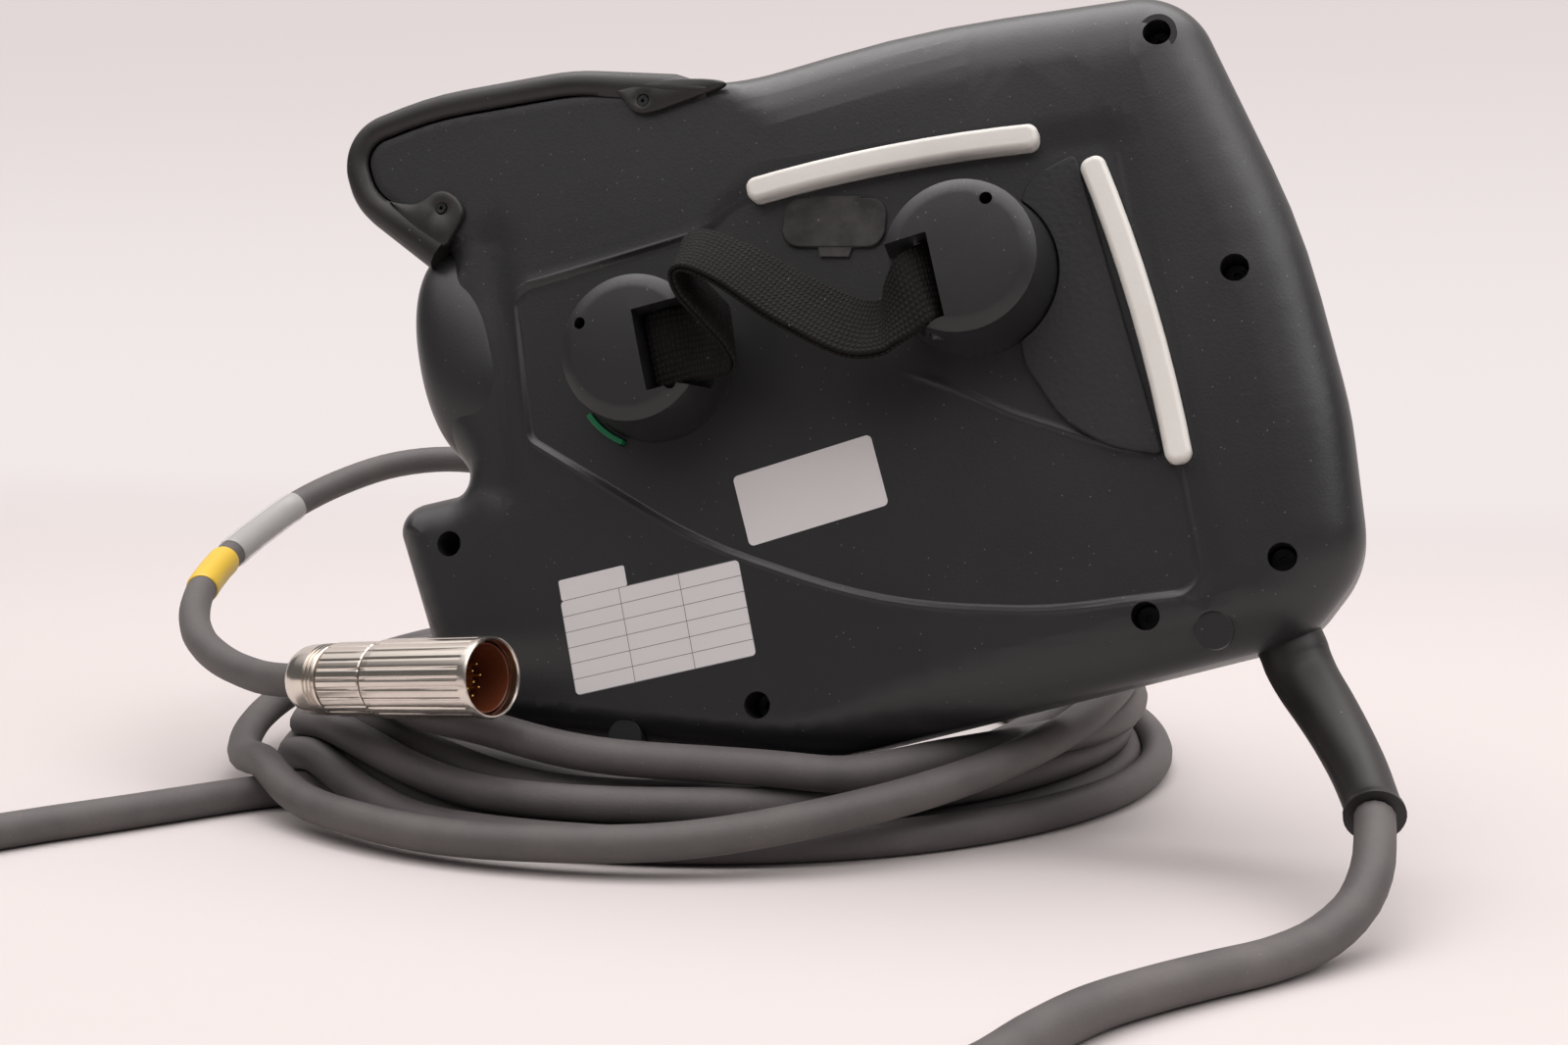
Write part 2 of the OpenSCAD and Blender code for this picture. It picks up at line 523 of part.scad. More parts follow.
// ---------------------------------------------------------------- controls on the front
mush_r = mushroom_d / 2;
stem_r = 8;
spigot_r = 6;
stop_travel = 4;
face = front_h;
block_z = front_h - wall - 9;
module estop_collar() color("#d6b21e") placed() front() at(estop_at, 0) {
    difference() {
        union() {
            at([0, 0], face) cylinder(r = mush_r, h = 3.5);
            at([0, 0], block_z) cylinder(r = estop_neck_r, h = face - block_z + eps);
        }
        at([0, 0], -1) cylinder(r = stem_r + thin, h = face + 20);
    }
    at([0, 0], face - wall - 3) ring3(estop_neck_r + 3.5, estop_neck_r + thin, 3);
}
module estop_stem() color("#9a9c9e") placed() front() at(estop_at, 0) {
    at([0, 0], block_z + stop_travel + 0.3) cylinder(r = stem_r, h = face + 7.9 - block_z - stop_travel - 0.3);
    at([0, 0], face + 7.8) cylinder(r = spigot_r, h = 5.2);
}
module estop_mushroom() color("#b3201c") placed() front() at(estop_at, face + 8) difference() {
    rotate_extrude() polygon(concat([[0, 0], [stem_r + 1, 0], [mush_r - 2, 1.5], [mush_r, 3.5], [mush_r, 6]],
        [for (k = [1 : 6]) let (a = 15 * k) [mush_r * cos(a), 6 + 7 * sin(a)]]));
    at([0, 0], -1) cylinder(r = spigot_r + thin, h = 1 + 5.4);
}
module estop_block() color("#26282b") placed() front() at(estop_at, block_z - 16) cylinder(r = 14, h = 16);

button_r = 5.5;
barrel_r = 5;
neck_end = front_h - wall - 8;
button_travel = 3;
module switch_bezels() color("#8f9193") placed() front() for (i = [0 : 2]) at(switch_at[i], 0) {
    bore = (i == 0 ? barrel_r : button_r) + thin;
    difference() {
        union() {
            at([0, 0], face) cylinder(r1 = 10, r2 = 8.6, h = 2.6);
            at([0, 0], neck_end) cylinder(r = switch_neck_r, h = face - neck_end + eps);
        }
        at([0, 0], 0) cylinder(r = bore, h = face + 10);
    }
    at([0, 0], face - wall - 2.5) ring3(switch_neck_r + 2.6, switch_neck_r + thin, 2.5);
}
key_blade = [1.8, 6, 14];
module mode_barrel() color("#a7a9ab") placed() front() at(switch_at[0], 0) difference() {
    at([0, 0], neck_end + 0.3) cylinder(r = barrel_r, h = face + 3 - neck_end - 0.3);
    translate([-key_blade[0] / 2 - 0.2, -key_blade[1] / 2 - 0.2, face + 2.5 - key_blade[2]]) cube([key_blade[0] + 0.4, key_blade[1] + 0.4, 30]);
}
module mode_key() color("#c6c8ca") placed() front() at(switch_at[0], face + 3 - key_blade[2]) {
    translate([-key_blade[0] / 2, -key_blade[1] / 2, 0]) cube([key_blade[0], key_blade[1], key_blade[2] + 4]);
    translate([-key_blade[0] / 2, 0, key_blade[2] + 11]) rotate([0, 90, 0]) difference() {
        cylinder(r = 8.5, h = key_blade[0]);
        translate([-3.5, 0, -1]) cylinder(r = 2.2, h = 6);
    }
}
module drive_button(p) placed() front() at(p, 0) {
    at([0, 0], neck_end + button_travel + 0.3) cylinder(r = button_r, h = face + 4 - neck_end - button_travel - 0.3);
    at([0, 0], face + 4 - eps) cylinder(r1 = button_r, r2 = button_r - 0.8, h = 0.8);
}
module drives_on_button() color("#1f8f4a") drive_button(switch_at[1]);
module drives_off_button() color("#c9cbcd") drive_button(switch_at[2]);
module switch_blocks() color("#26282b") placed() front() for (p = switch_at) at(p, neck_end - 14)
    linear_extrude(14) box2(17, 17, 2);

// Six-axis mouse: a sprung carrier in a cup, a gimbal ring on it and the round cap on the ring
cup_r = mouse_d / 2 + 4;
cup_z = front_h - wall - 16;
pivot_z = front_h - 7;
plate_z = pivot_z - 5;
gimbal_r = 10;
pin_r = 1;
hub_r = 2.5;
module mouse_base() color("#2c2e31") placed() front() at(mouse_at, 0) {
    difference() {
        at([0, 0], cup_z) cylinder(r = cup_r, h = front_h - wall - cup_z);
        at([0, 0], cup_z + 2) cylinder(r = cup_r - 2, h = 20);
    }
    at([0, 0], cup_z + 1.9) ring3(hub_r + 2.5, hub_r + thin, plate_z - cup_z - 2.9);
    translate([-8, -8, 1]) cube([16, 16, cup_z - 1]);
}
module mouse_plate() color("#8f9193") placed() front() at(mouse_at, 0) {
    at([0, 0], cup_z + 3) cylinder(r = hub_r, h = plate_z - cup_z - 3 + eps);
    translate([-14, -4, plate_z]) cube([28, 8, 1.5]);
    for (s = [-1, 1]) {
        translate([s * (gimbal_r + 2.5) - 1.5, -2.5, plate_z + 1.4]) cube([3, 5, pivot_z + 2 - plate_z - 1.4]);
        translate([s * (gimbal_r + 1.2), 0, pivot_z]) rotate([0, -90 * s, 0]) cylinder(r = pin_r, h = 2.8);
    }
}
module mouse_ring() color("#b0a070") placed() front() at(mouse_at, pivot_z - 1.8) difference() {
    cylinder(r = gimbal_r, h = 3.6);
    translate([0, 0, -1]) cylinder(r = gimbal_r - 2.4, h = 6);
    for (a = [0 : 90 : 270]) rotate(a) translate([gimbal_r - 3, 0, 1.8]) rotate([0, 90, 0]) cylinder(r = pin_r + thin, h = 5);
}
module mouse_cap() color("#3a3c3f") placed() front() at(mouse_at, 0) {
    r = mouse_d / 2;
    difference() {
        at([0, 0], face - 2) rotate_extrude() polygon(concat([[0, 0], [r - 1, 0], [r, 1.5], [r - 0.8, 8]],
            [for (k = [0 : 5]) let (a = 18 * k) [r - 6.5 + 5.5 * cos(a), 9.5 + 5.5 * sin(a)]], [[0, 15.6]]));
        at([0, 0], face - 3) cylinder(r = r - 3, h = 13);
    }
    for (s = [-1, 1]) {
        translate([-2.5, s * (gimbal_r + 2.5) - 1.5, pivot_z - 2]) cube([5, 3, face + 10.5 - pivot_z + 2]);
        translate([0, s * (gimbal_r + 1.2), pivot_z]) rotate([90 * s, 0, 0]) cylinder(r = pin_r, h = 2.8);
    }
}

// ---------------------------------------------------------------- display, boards and keys
module display_window() color("#15181b") placed() front() at(window_at, face - window_t) linear_extrude(window_t) box2(window_w, window_h, 4);
module display_module() color("#5b5f63") placed() front() at(window_at, face - wall - 7) linear_extrude(7) box2(window_w - 2, window_h - 2, 2);
module main_board() color("#1e5c3a") placed() at([23, 16], board_z) {
    difference() {
        linear_extrude(board_t) box2(186, 116, 3);
        for (p = post_at) translate([p[0] - 23, p[1] - 16, -1]) cylinder(d = small_d + 0.6, h = 9);
    }
    for (c = [[-50, 22, 24], [10, 8, 18], [52, -24, 24], [-20, -34, 16]]) translate([c[0], c[1], board_t - eps]) linear_extrude(2.4) square(c[2], center = true);
}
module key_boards() color("#1e5c3a") placed() for (b = key_board_list) at(b[0], key_board_z) linear_extrude(board_t) square(b[1], center = true);

function cut_corners(w, h, c) = [[w / 2, h / 2 - c], [w / 2 - c, h / 2], [c - w / 2, h / 2], [-w / 2, h / 2 - c],
    [-w / 2, c - h / 2], [c - w / 2, -h / 2], [w / 2 - c, -h / 2], [w / 2, c - h / 2]];
module key_hole(k) translate([k[0], k[1], -front_h - 1]) linear_extrude(wall + 2) polygon(cut_corners(k[2] + 2 * gap, k[3] + 2 * gap, 1.2));
module keys(list) placed() front() for (k = list) translate([k[0], k[1], 0]) {
    at([0, 0], face - wall - 0.1 - flange_t) linear_extrude(flange_t) square([k[2] + 1.6, k[3] + 1.6], center = true);
    at([0, 0], face - wall - 0.1 - eps) linear_extrude(wall + key_h - 0.4) polygon(cut_corners(k[2], k[3], 1.2));
    at([0, 0], face + key_h - 0.6) linear_extrude(0.6) polygon(cut_corners(k[2] - 1, k[3] - 1, 1));
}
module menu_keys() color("#b9bbb8") keys(keys_menu);
module soft_keys() color("#b9bbb8") keys(keys_soft);
module status_keys_left() color("#b9bbb8") keys(keys_left);
module status_keys_right() color("#b9bbb8") keys(keys_right);
module letter_keys() color("#c9cac6") keys(keys_letter);
module number_keys() color("#c9cac6") keys(keys_number);
module arrow_keys() color("#c9cac6") keys(keys_arrow);
module stop_key() color("#b3201c") keys([key_stop]);
module start_key() color("#12874a") keys([key_start]);
module backward_key() color("#12874a") keys([key_backward]);
module escape_key() color("#b9bbb8") keys([key_escape]);
module window_key() color("#b9bbb8") keys([key_window]);
module enter_key() color("#b9bbb8") keys([key_enter]);

// ---------------------------------------------------------------- cable
cable_r = cable_d / 2;
gland_r = 8.2;
module gland_cut() translate([gland_at[0], gland_at[1] + 14, 0]) rotate([90, 0, 0]) cylinder(r = gland_r + thin, h = 40);

// Tube of its own radius at each station [point, radius], with n sides
module tube(stations, n) {
    m = len(stations);
    dirs = [for (i = [0 : m - 1]) unit(stations[min(i + 1, m - 1)][0] - stations[max(i - 1, 0)][0])];
    rings = [for (i = [0 : m - 1]) let (d = dirs[i], a = unit(cross(d, [0.13, 0.21, 1])), b = cross(d, a))
        [for (k = [0 : n - 1]) stations[i][0] + stations[i][1] * (a * cos(360 * k / n) + b * sin(360 * k / n))]];
    polyhedron([for (r = rings) each r], concat([[for (k = [0 : n - 1]) k]],
        [for (j = [0 : m - 2], k = [0 : n - 1]) [j * n + k, (j + 1) * n + k, (j + 1) * n + (k + 1) % n, j * n + (k + 1) % n]],
        [[for (k = [n - 1 : -1 : 0]) (m - 1) * n + k]]));
}
// Boot: stations from the housing's lower edge, bending towards the back
gland_y = bottom + 3.7;
BOOT = [[[0, 0, 0], 10.4], [[0, -3, 0], 10.4], [[1.6, -11, 3], 9.9], [[5, -21, 10.5], 9.5], [[8, -31, 20], 9.1],
    [[10.5, -41, 31], 8.7], [[12, -50, 43], 8.4], [[12.2, -53, 47.4], 8.4], [[12.2, -53.2, 47.7], 9.3], [[12.2, -54.6, 50], 9.3]];
module cable_boot() color("#2b2624") placed() translate([gland_at[0], gland_y, 0]) tube(BOOT, 24);
module cable_gland() color("#3a3c3f") placed() translate([gland_at[0], gland_y, 0]) rotate([-90, 0, 0]) {
    cylinder(r = gland_r, h = 14);
    translate([0, 0, 6]) cylinder(r = gland_r + 2.6, h = 3);
    translate([0, 0, 14 - eps]) cylinder(r = cable_r, h = 5);
}

// Places below are from the grip field, the floor 6 mm under a lying cable's middle
low = floor_z + cable_r;
coil_mid = [-86, 87];
coil_r = 155;
module in_frame() { translate(-middle) children(); }
function route(points) = [for (p = points) [p, cable_r]];
LEAD = [[168.65, -77.27, -121], [168.9, -87, -125.2], [168.2, -98, -131.5], [164, -111.5, -138.5], [155, -127, -143.5],
    [143, -142, -145.5], [131, -156, -145.5], [117, -173, -145.5], [104, -192, -145.5], [94, -215, -145.5], [85, -241, -145.5],
    [69, -264, -145.5], [45, -284, -145.5], [15, -299, -145.5], [-18, -310, -145.5], [-52, -316, -145.5], [-86, -318, -145.5],
    [-119, -314, -145.5], [-150, -304, -145.5], [-179, -289, -145.5], [-206, -270, -145.5], [-231, -248, -145.5], [-253, -223, -145.5],
    [-269, -195, -145.5], [-276, -167, -145.5], [-271, -142, -145.5], [-258, -119, -145.5], [-241, -95, -145.5], [-224, -71, -145.5],
    [-213, -55, -145.5]];
TAIL = [[-96, 246, -83], [-126, 243, -76], [-156, 236, -67.5], [-186, 225, -58.5], [-213, 212, -50.5], [-237, 200, -45], [-259, 187, -42.5],
    [-279, 171, -45], [-295, 152, -52], [-304, 130, -60], [-306, 106, -68], [-305, 84, -74.5], [-301, 60, -81], [-293, 34, -88.5],
    [-279, 9, -95], [-261, -13, -100], [-240, -31, -103.5], [-218, -45, -105.2]];
PLUG = [[-190, -58, -103], [-106, -83.5, -93.5]];
plug_way = unit(PLUG[1] - PLUG[0]);
plug_back = PLUG[0];

module cable_lead() color("#6f6c6e") in_frame() tube(route(LEAD), 10);
module cable_tail() color("#6f6c6e") in_frame() tube(route(concat(TAIL, [plug_back - 12 * plug_way, plug_back])), 10);
module cable_coil() color("#6f6c6e") in_frame() translate([coil_mid[0], coil_mid[1], floor_z]) {
    rotate_extrude() polygon([[coil_r - 27, 0], [coil_r + 25, 0], [coil_r + 25, 12], [coil_r + 20, 21.5],
        [coil_r - 21, 21.5], [coil_r - 27, 12]]);
    // upper turns, kept off the panel's lower edge and the plug
    rotate(330) rotate_extrude(angle = 310) translate([coil_r - 10, 21.4]) square([22, 12.6]);
    rotate(8) rotate_extrude(angle = 214) translate([coil_r - 8.5, 33]) square([18.5, 11.5]);
    rotate(20) rotate_extrude(angle = 140) translate([coil_r - 7, 44.4]) square([16, 18]);
}
module on_tail(i, j, r) { tube([for (k = [i : j]) [TAIL[k], r]], 14); }
module sleeve(i, j, r) { difference() { on_tail(i, j, r); on_tail(i - 1, j + 1, cable_r + 0.3); } }
module cable_markers() color("#e5c53a") in_frame() {
    sleeve(8, 10, cable_r + 1.5);
    sleeve(12, 13, cable_r + 0.8);
}

// Plug: +Z from the cable's end towards the mouth
module in_plug(z) { in_frame() translate(plug_back) rotate([0, acos(plug_way[2]), atan2(plug_way[1], plug_way[0])]) translate([0, 0, z]) children(); }
ring_r = ring_d / 2;
neck_r = 10;
ring_l = 30;
neck_l = 16;
thread_l = 9;
ring_z = plug_l - ring_l;
module plug_nut() color("#8e9092") in_plug(0) difference() {
    union() {
        cylinder(r1 = 8.5, r2 = 10.4, h = 3);
        translate([0, 0, 3 - eps]) cylinder(r = 10.4, h = 15);
    }
    for (k = [0 : 2]) translate([0, 0, 5 + 4 * k]) ring3(11, 9.7, 1.4);
}
module plug_body() color("#c4c6c8") in_plug(18) difference() {
    union() {
        cylinder(r = 11.4, h = 12);
        translate([0, 0, 12 - eps]) cylinder(r = 9.8, h = 3);
        translate([0, 0, 15 - eps]) cylinder(r = 11.8, h = ring_z - 18 - 15 - 0.3);
        translate([0, 0, ring_z - 19]) cylinder(r = neck_r, h = neck_l + 1.3);
        translate([0, 0, ring_z - 18 + neck_l + 0.2]) cylinder(r = neck_r + 1, h = 1.8);
    }
    for (s = [-1, 1]) translate([s > 0 ? 10.3 : -20.3, -10, 3]) cube([10, 20, 6]);
    translate([0, 0, ring_z - 18 + 2]) cylinder(r = 8.6, h = 40);
}
module plug_insert() color("#6b3a1e") in_plug(ring_z + 2) {
    cylinder(r = 8.6 - thin, h = 12);
    for (a = [0 : 45 : 315]) rotate(a) translate([6, 0, 12 - eps]) cylinder(r = 0.75, h = 6);
    for (a = [20 : 90 : 290]) rotate(a) translate([2.6, 0, 12 - eps]) cylinder(r = 0.75, h = 6);
}
module plug_ring() color("#c9cbcd") in_plug(ring_z) difference() {
    union() {
        cylinder(r1 = ring_r - 1, r2 = ring_r, h = 1);
        translate([0, 0, 1 - eps]) cylinder(r = ring_r, h = ring_l - 3);
        translate([0, 0, ring_l - 2 - eps]) cylinder(r1 = ring_r, r2 = ring_r - 0.8, h = 2);
    }
    translate([0, 0, -1]) cylinder(r = neck_r + thin, h = ring_l + 2);
    translate([0, 0, neck_l]) cylinder(r = 12, h = ring_l - neck_l - thread_l + eps);
    translate([0, 0, ring_l - thread_l]) cylinder(r = 11.5, h = ring_l);
    for (a = [0 : 18 : 342]) rotate(a) translate([ring_r + 0.4, 0, 8]) cylinder(r = 1.3, h = 16);
    translate([0, 0, 3]) ring3(ring_r + 1, ring_r - 0.6, 1.2);
}

rear_shell();
front_shell();
housing_gasket();
housing_screws();
small_screws();
hole_plugs();
grip_dome_left();
grip_dome_right();
strap_pins();
hand_strap();
connector_cover();
service_socket();
grip_pad();
ear_bumper_rear();
ear_bumper_front();
enable_bar_top();
enable_bar_side();
enable_switches();
rear_start_key();
estop_collar();
estop_stem();
estop_mushroom();
estop_block();
switch_bezels();
mode_barrel();
mode_key();
drives_on_button();
drives_off_button();
switch_blocks();
mouse_base();
mouse_plate();
mouse_ring();
mouse_cap();
display_window();
display_module();
main_board();
key_boards();
menu_keys();
soft_keys();
status_keys_left();
status_keys_right();
stop_key();
start_key();
backward_key();
escape_key();
window_key();
arrow_keys();
enter_key();
letter_keys();
number_keys();
cable_boot();
cable_gland();
cable_coil();
cable_lead();
cable_tail();
cable_markers();
plug_nut();
plug_body();
plug_ring();
plug_insert();
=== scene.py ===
# Hand-held robot control panel with its coiled cable, dressed in Blender
import bpy, bmesh, json, math
import numpy as np
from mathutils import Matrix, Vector
from mathutils.geometry import delaunay_2d_cdt


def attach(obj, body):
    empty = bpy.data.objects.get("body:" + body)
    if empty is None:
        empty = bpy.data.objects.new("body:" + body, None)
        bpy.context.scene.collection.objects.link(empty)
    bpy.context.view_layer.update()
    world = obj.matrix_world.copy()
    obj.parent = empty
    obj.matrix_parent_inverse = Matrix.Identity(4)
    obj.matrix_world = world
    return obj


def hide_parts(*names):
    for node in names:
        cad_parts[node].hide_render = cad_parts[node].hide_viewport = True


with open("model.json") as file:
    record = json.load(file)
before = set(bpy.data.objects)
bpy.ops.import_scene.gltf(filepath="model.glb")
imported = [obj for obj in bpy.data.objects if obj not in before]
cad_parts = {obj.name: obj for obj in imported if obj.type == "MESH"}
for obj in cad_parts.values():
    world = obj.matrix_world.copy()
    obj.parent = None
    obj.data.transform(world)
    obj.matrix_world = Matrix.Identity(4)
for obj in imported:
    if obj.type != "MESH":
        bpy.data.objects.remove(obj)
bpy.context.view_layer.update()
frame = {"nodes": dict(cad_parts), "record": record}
record = frame["record"]
print("frame loaded:", len(frame["nodes"]), "nodes")

# How the panel stands: drawn lying in mm, u to the right, v up, w out of its back
stance = dict(roll=15.3, lean=12.0, middle=(-13.0, 2.6, -2.9), floor=-151.5)


def turnMatrix():  # lying (u, v, w) turned upright, rolled and leaning
    r, l = math.radians(stance["roll"]), math.radians(stance["lean"])
    lean = np.array([[1, 0, 0], [0, math.cos(l), math.sin(l)], [0, -math.sin(l), math.cos(l)]])
    roll = np.array([[math.cos(r), 0, -math.sin(r)], [0, 1, 0], [math.sin(r), 0, math.cos(r)]])
    return lean @ roll @ np.array([[1, 0, 0], [0, 0, -1], [0, 1, 0]], float)


upright = turnMatrix()
middle = np.array(stance["middle"])


def standing(points):  # lying millimetres to the object's metres
    return (np.asarray(points, float) @ upright.T - middle) / 1000


def placed(points):  # upright millimetres, as the cable is given, to the object's metres
    return (np.asarray(points, float) - middle) / 1000


# ------------------------------------------------------------- camera
def setCamera():
    view = dict(place=(0.18075, -0.65864, 0.02141), pitch=84.4, turn=17.0, lens=45)
    data = bpy.data.cameras.new("camera")
    data.lens, data.sensor_width, data.clip_start = view["lens"], 36, 0.01
    eye = bpy.data.objects.new("camera", data)
    eye.location = view["place"]
    eye.rotation_euler = (math.radians(view["pitch"]), 0, math.radians(view["turn"]))
    bpy.context.scene.collection.objects.link(eye)
    bpy.context.scene.camera = eye


# ------------------------------------------------------------- node groups and materials
def feed(tree, node, inputs):
    # gives each input a value, or the socket that feeds it
    for key, value in inputs.items():
        if isinstance(value, bpy.types.NodeSocket):
            tree.links.new(value, node.inputs[key])
        else:
            node.inputs[key].default_value = value
    return node


def addNode(tree, kind, inputs=None, **options):
    # a node with its settings, values and incoming links
    node = tree.nodes.new(kind)
    for key, value in options.items():
        setattr(node, key, value)
    return feed(tree, node, inputs or {})


def number(tree, operation, *values):
    return addNode(tree, "ShaderNodeMath", dict(enumerate(values)), operation=operation).outputs[0]


def blended(tree, share, first, second):  # a colour between two others
    return addNode(tree, "ShaderNodeMix", {0: share, 6: first, 7: second}, data_type="RGBA").outputs[2]


def ranged(tree, value, start, end, low=0.0, high=1.0, kind="LINEAR"):
    # a value between start and end brought between low and high
    inputs = {"Value": value, "From Min": start, "From Max": end, "To Min": low, "To Max": high}
    return addNode(tree, "ShaderNodeMapRange", inputs, interpolation_type=kind).outputs[0]


def makeGroup(name, inputs, outputs):
    # an empty shader group; an input without a value is a vector, one with four values a colour
    tree = bpy.data.node_groups.new(name, "ShaderNodeTree")
    for label, value in inputs.items():
        kind = "Vector" if value is None else "Color" if isinstance(value, tuple) else "Float"
        socket = tree.interface.new_socket(label, in_out="INPUT", socket_type="NodeSocket" + kind)
        if value is not None:
            socket.default_value = value
    for label, kind in outputs.items():
        tree.interface.new_socket(label, in_out="OUTPUT", socket_type="NodeSocket" + kind)
    return tree, tree.nodes.new("NodeGroupInput").outputs, tree.nodes.new("NodeGroupOutput")


def addGroup(tree, name, inputs):
    return addNode(tree, "ShaderNodeGroup", inputs, node_tree=bpy.data.node_groups[name]).outputs


def newMaterial(name):
    made = bpy.data.materials.new(name)
    made.use_nodes = True
    return made, made.node_tree, made.node_tree.nodes["Principled BSDF"]


def buildMouldGrain():
    # spark-eroded mould grain: fine noise over small cells, as a height between 0 and 1
    tree, given, end = makeGroup("mouldGrain", {"Vector": None, "Scale": 1800.0}, {"Height": "Float"})
    noise = addNode(tree, "ShaderNodeTexNoise", {"Vector": given["Vector"], "Scale": given["Scale"],
                                                 "Detail": 3})
    cells = addNode(tree, "ShaderNodeTexVoronoi", {"Vector": given["Vector"],
                                                   "Scale": number(tree, "MULTIPLY", given["Scale"], 0.6)})
    both = addNode(tree, "ShaderNodeMix", {0: 0.5, 2: noise.outputs["Fac"], 3: cells.outputs["Distance"]})
    feed(tree, end, {"Height": both.outputs[0]})


def buildHandling():
    # handling marks: broad rubbed patches with a few fine specks of dust, as a colour and a mask
    tree, given, end = makeGroup("handlingMarks", {"Vector": None, "Colour": (1, 1, 1, 1),
                                                   "Rubbed": (1, 1, 1, 1), "Amount": 0.3, "Dust": 0.3,
                                                   "Patch": 14.0},
                                 {"Colour": "Color", "Mask": "Float"})
    broad = addNode(tree, "ShaderNodeTexNoise", {"Vector": given["Vector"], "Scale": given["Patch"],
                                                 "Detail": 6, "Roughness": 0.62})
    mask = number(tree, "MULTIPLY", ranged(tree, broad.outputs["Fac"], 0.38, 0.72), given["Amount"])
    specks = addNode(tree, "ShaderNodeTexVoronoi", {"Vector": given["Vector"], "Scale": 260})
    dust = number(tree, "MULTIPLY", ranged(tree, specks.outputs["Distance"], 0.07, 0.03), given["Dust"])
    worn = blended(tree, mask, given["Colour"], given["Rubbed"])
    feed(tree, end, {"Colour": blended(tree, dust, worn, (0.42, 0.40, 0.38, 1)), "Mask": mask})


def buildWeave():
    # plain webbing: cross ribs of weft over long warp threads, from a UV in metres; the mask marks the
    # weave's crowns, which get a painted highlight
    tree, given, end = makeGroup("webbingWeave", {"Vector": None}, {"Height": "Float", "Mask": "Float"})
    waves = []
    for scale, uneven, way in ((1300, 1.6, "Y"), (900, 1.2, "X")):
        inputs = {"Vector": given["Vector"], "Scale": scale / 6.283, "Distortion": uneven, "Detail": 1}
        wave = addNode(tree, "ShaderNodeTexWave", inputs, wave_type="BANDS", bands_direction=way)
        waves.append(wave.outputs["Fac"])
    both = number(tree, "MULTIPLY", *waves)
    fuzz = addNode(tree, "ShaderNodeTexNoise", {"Vector": given["Vector"], "Scale": 2600}).outputs["Fac"]
    feed(tree, end, {"Height": number(tree, "MULTIPLY_ADD", fuzz, 0.35, both), "Mask": both})


def makeFinish(name, colour, rough, rubbed=None, grain=1800.0, bump=0.15, depth=0.0002, amount=0.35, dust=0.2,
               metal=0.0, patch=14.0, coat=0.0, alpha=1.0, uneven=0.12):
    # moulded or cast surface: colour with handling marks, grain as bump, roughness varied by the marks
    made, tree, shader = newMaterial(name)
    where = addNode(tree, "ShaderNodeTexCoord").outputs["Object"]
    rubbed = rubbed or [min(1, c * 1.35 + 0.006) for c in colour]
    marks = addGroup(tree, "handlingMarks", {"Vector": where, "Colour": (*colour, 1), "Rubbed": (*rubbed, 1),
                                             "Amount": amount, "Dust": dust, "Patch": patch})
    rise = addGroup(tree, "mouldGrain", {"Vector": where, "Scale": grain})["Height"]
    bumped = addNode(tree, "ShaderNodeBump", {"Strength": bump, "Distance": depth, "Height": rise}).outputs[0]
    roughness = ranged(tree, marks["Mask"], 0.0, 1.0, rough, min(1, rough + uneven))
    feed(tree, shader, {"Base Color": marks["Colour"], "Roughness": roughness, "Normal": bumped,
                        "Metallic": metal, "Coat Weight": coat, "Alpha": alpha})
    return made


def makeWebbing(name, colour, wearAndSheen):
    # the second colour shows in worn patches, and, brightened, as a painted highlight on the weave's crowns
    made, tree, shader = newMaterial(name)
    where = addNode(tree, "ShaderNodeTexCoord").outputs
    weave = addGroup(tree, "webbingWeave", {"Vector": where["UV"]})
    marks = addGroup(tree, "handlingMarks", {"Vector": where["Object"], "Colour": (*colour, 1),
                                             "Rubbed": (*wearAndSheen, 1), "Amount": 0.8, "Dust": 0.5, "Patch": 60})
    # painted highlight: the weave's crowns take a colour 1.9 times the worn threads', mixed in by the weave's
    # mask
    share, crownHighlight = number(tree, "MULTIPLY", weave["Mask"], 0.7), (*[c * 1.9 for c in wearAndSheen], 1)
    bumped = addNode(tree, "ShaderNodeBump", {"Strength": 0.9, "Distance": 0.0006, "Height": weave["Height"]})
    feed(tree, shader, {"Base Color": blended(tree, share, marks["Colour"], crownHighlight),
                        "Normal": bumped.outputs[0], "Roughness": 0.82, "Specular IOR Level": 0.18})
    return made


def makePrinted(name, paper, ink):
    # a blank form: ruled cells of fine lines on pale film, in the label's own UV
    made = makeFinish(name, paper, 0.38, rubbed=[c * 0.9 for c in paper], grain=700, bump=0.03, amount=0.25,
                      dust=0.1)
    tree, shader = made.node_tree, made.node_tree.nodes["Principled BSDF"]
    film = shader.inputs["Base Color"].links[0].from_socket
    lines = addNode(tree, "ShaderNodeTexBrick",
                    {"Vector": addNode(tree, "ShaderNodeTexCoord").outputs["UV"], "Color1": (1, 1, 1, 1),
                     "Color2": (1, 1, 1, 1), "Mortar": (0, 0, 0, 1), "Scale": 3.0, "Mortar Size": 0.006,
                     "Mortar Smooth": 0.1, "Brick Width": 1.0, "Row Height": 0.25}, offset=0.0, squash=1.0)
    feed(tree, shader, {"Base Color": blended(tree, lines.outputs["Color"], (*ink, 1), film)})
    return made


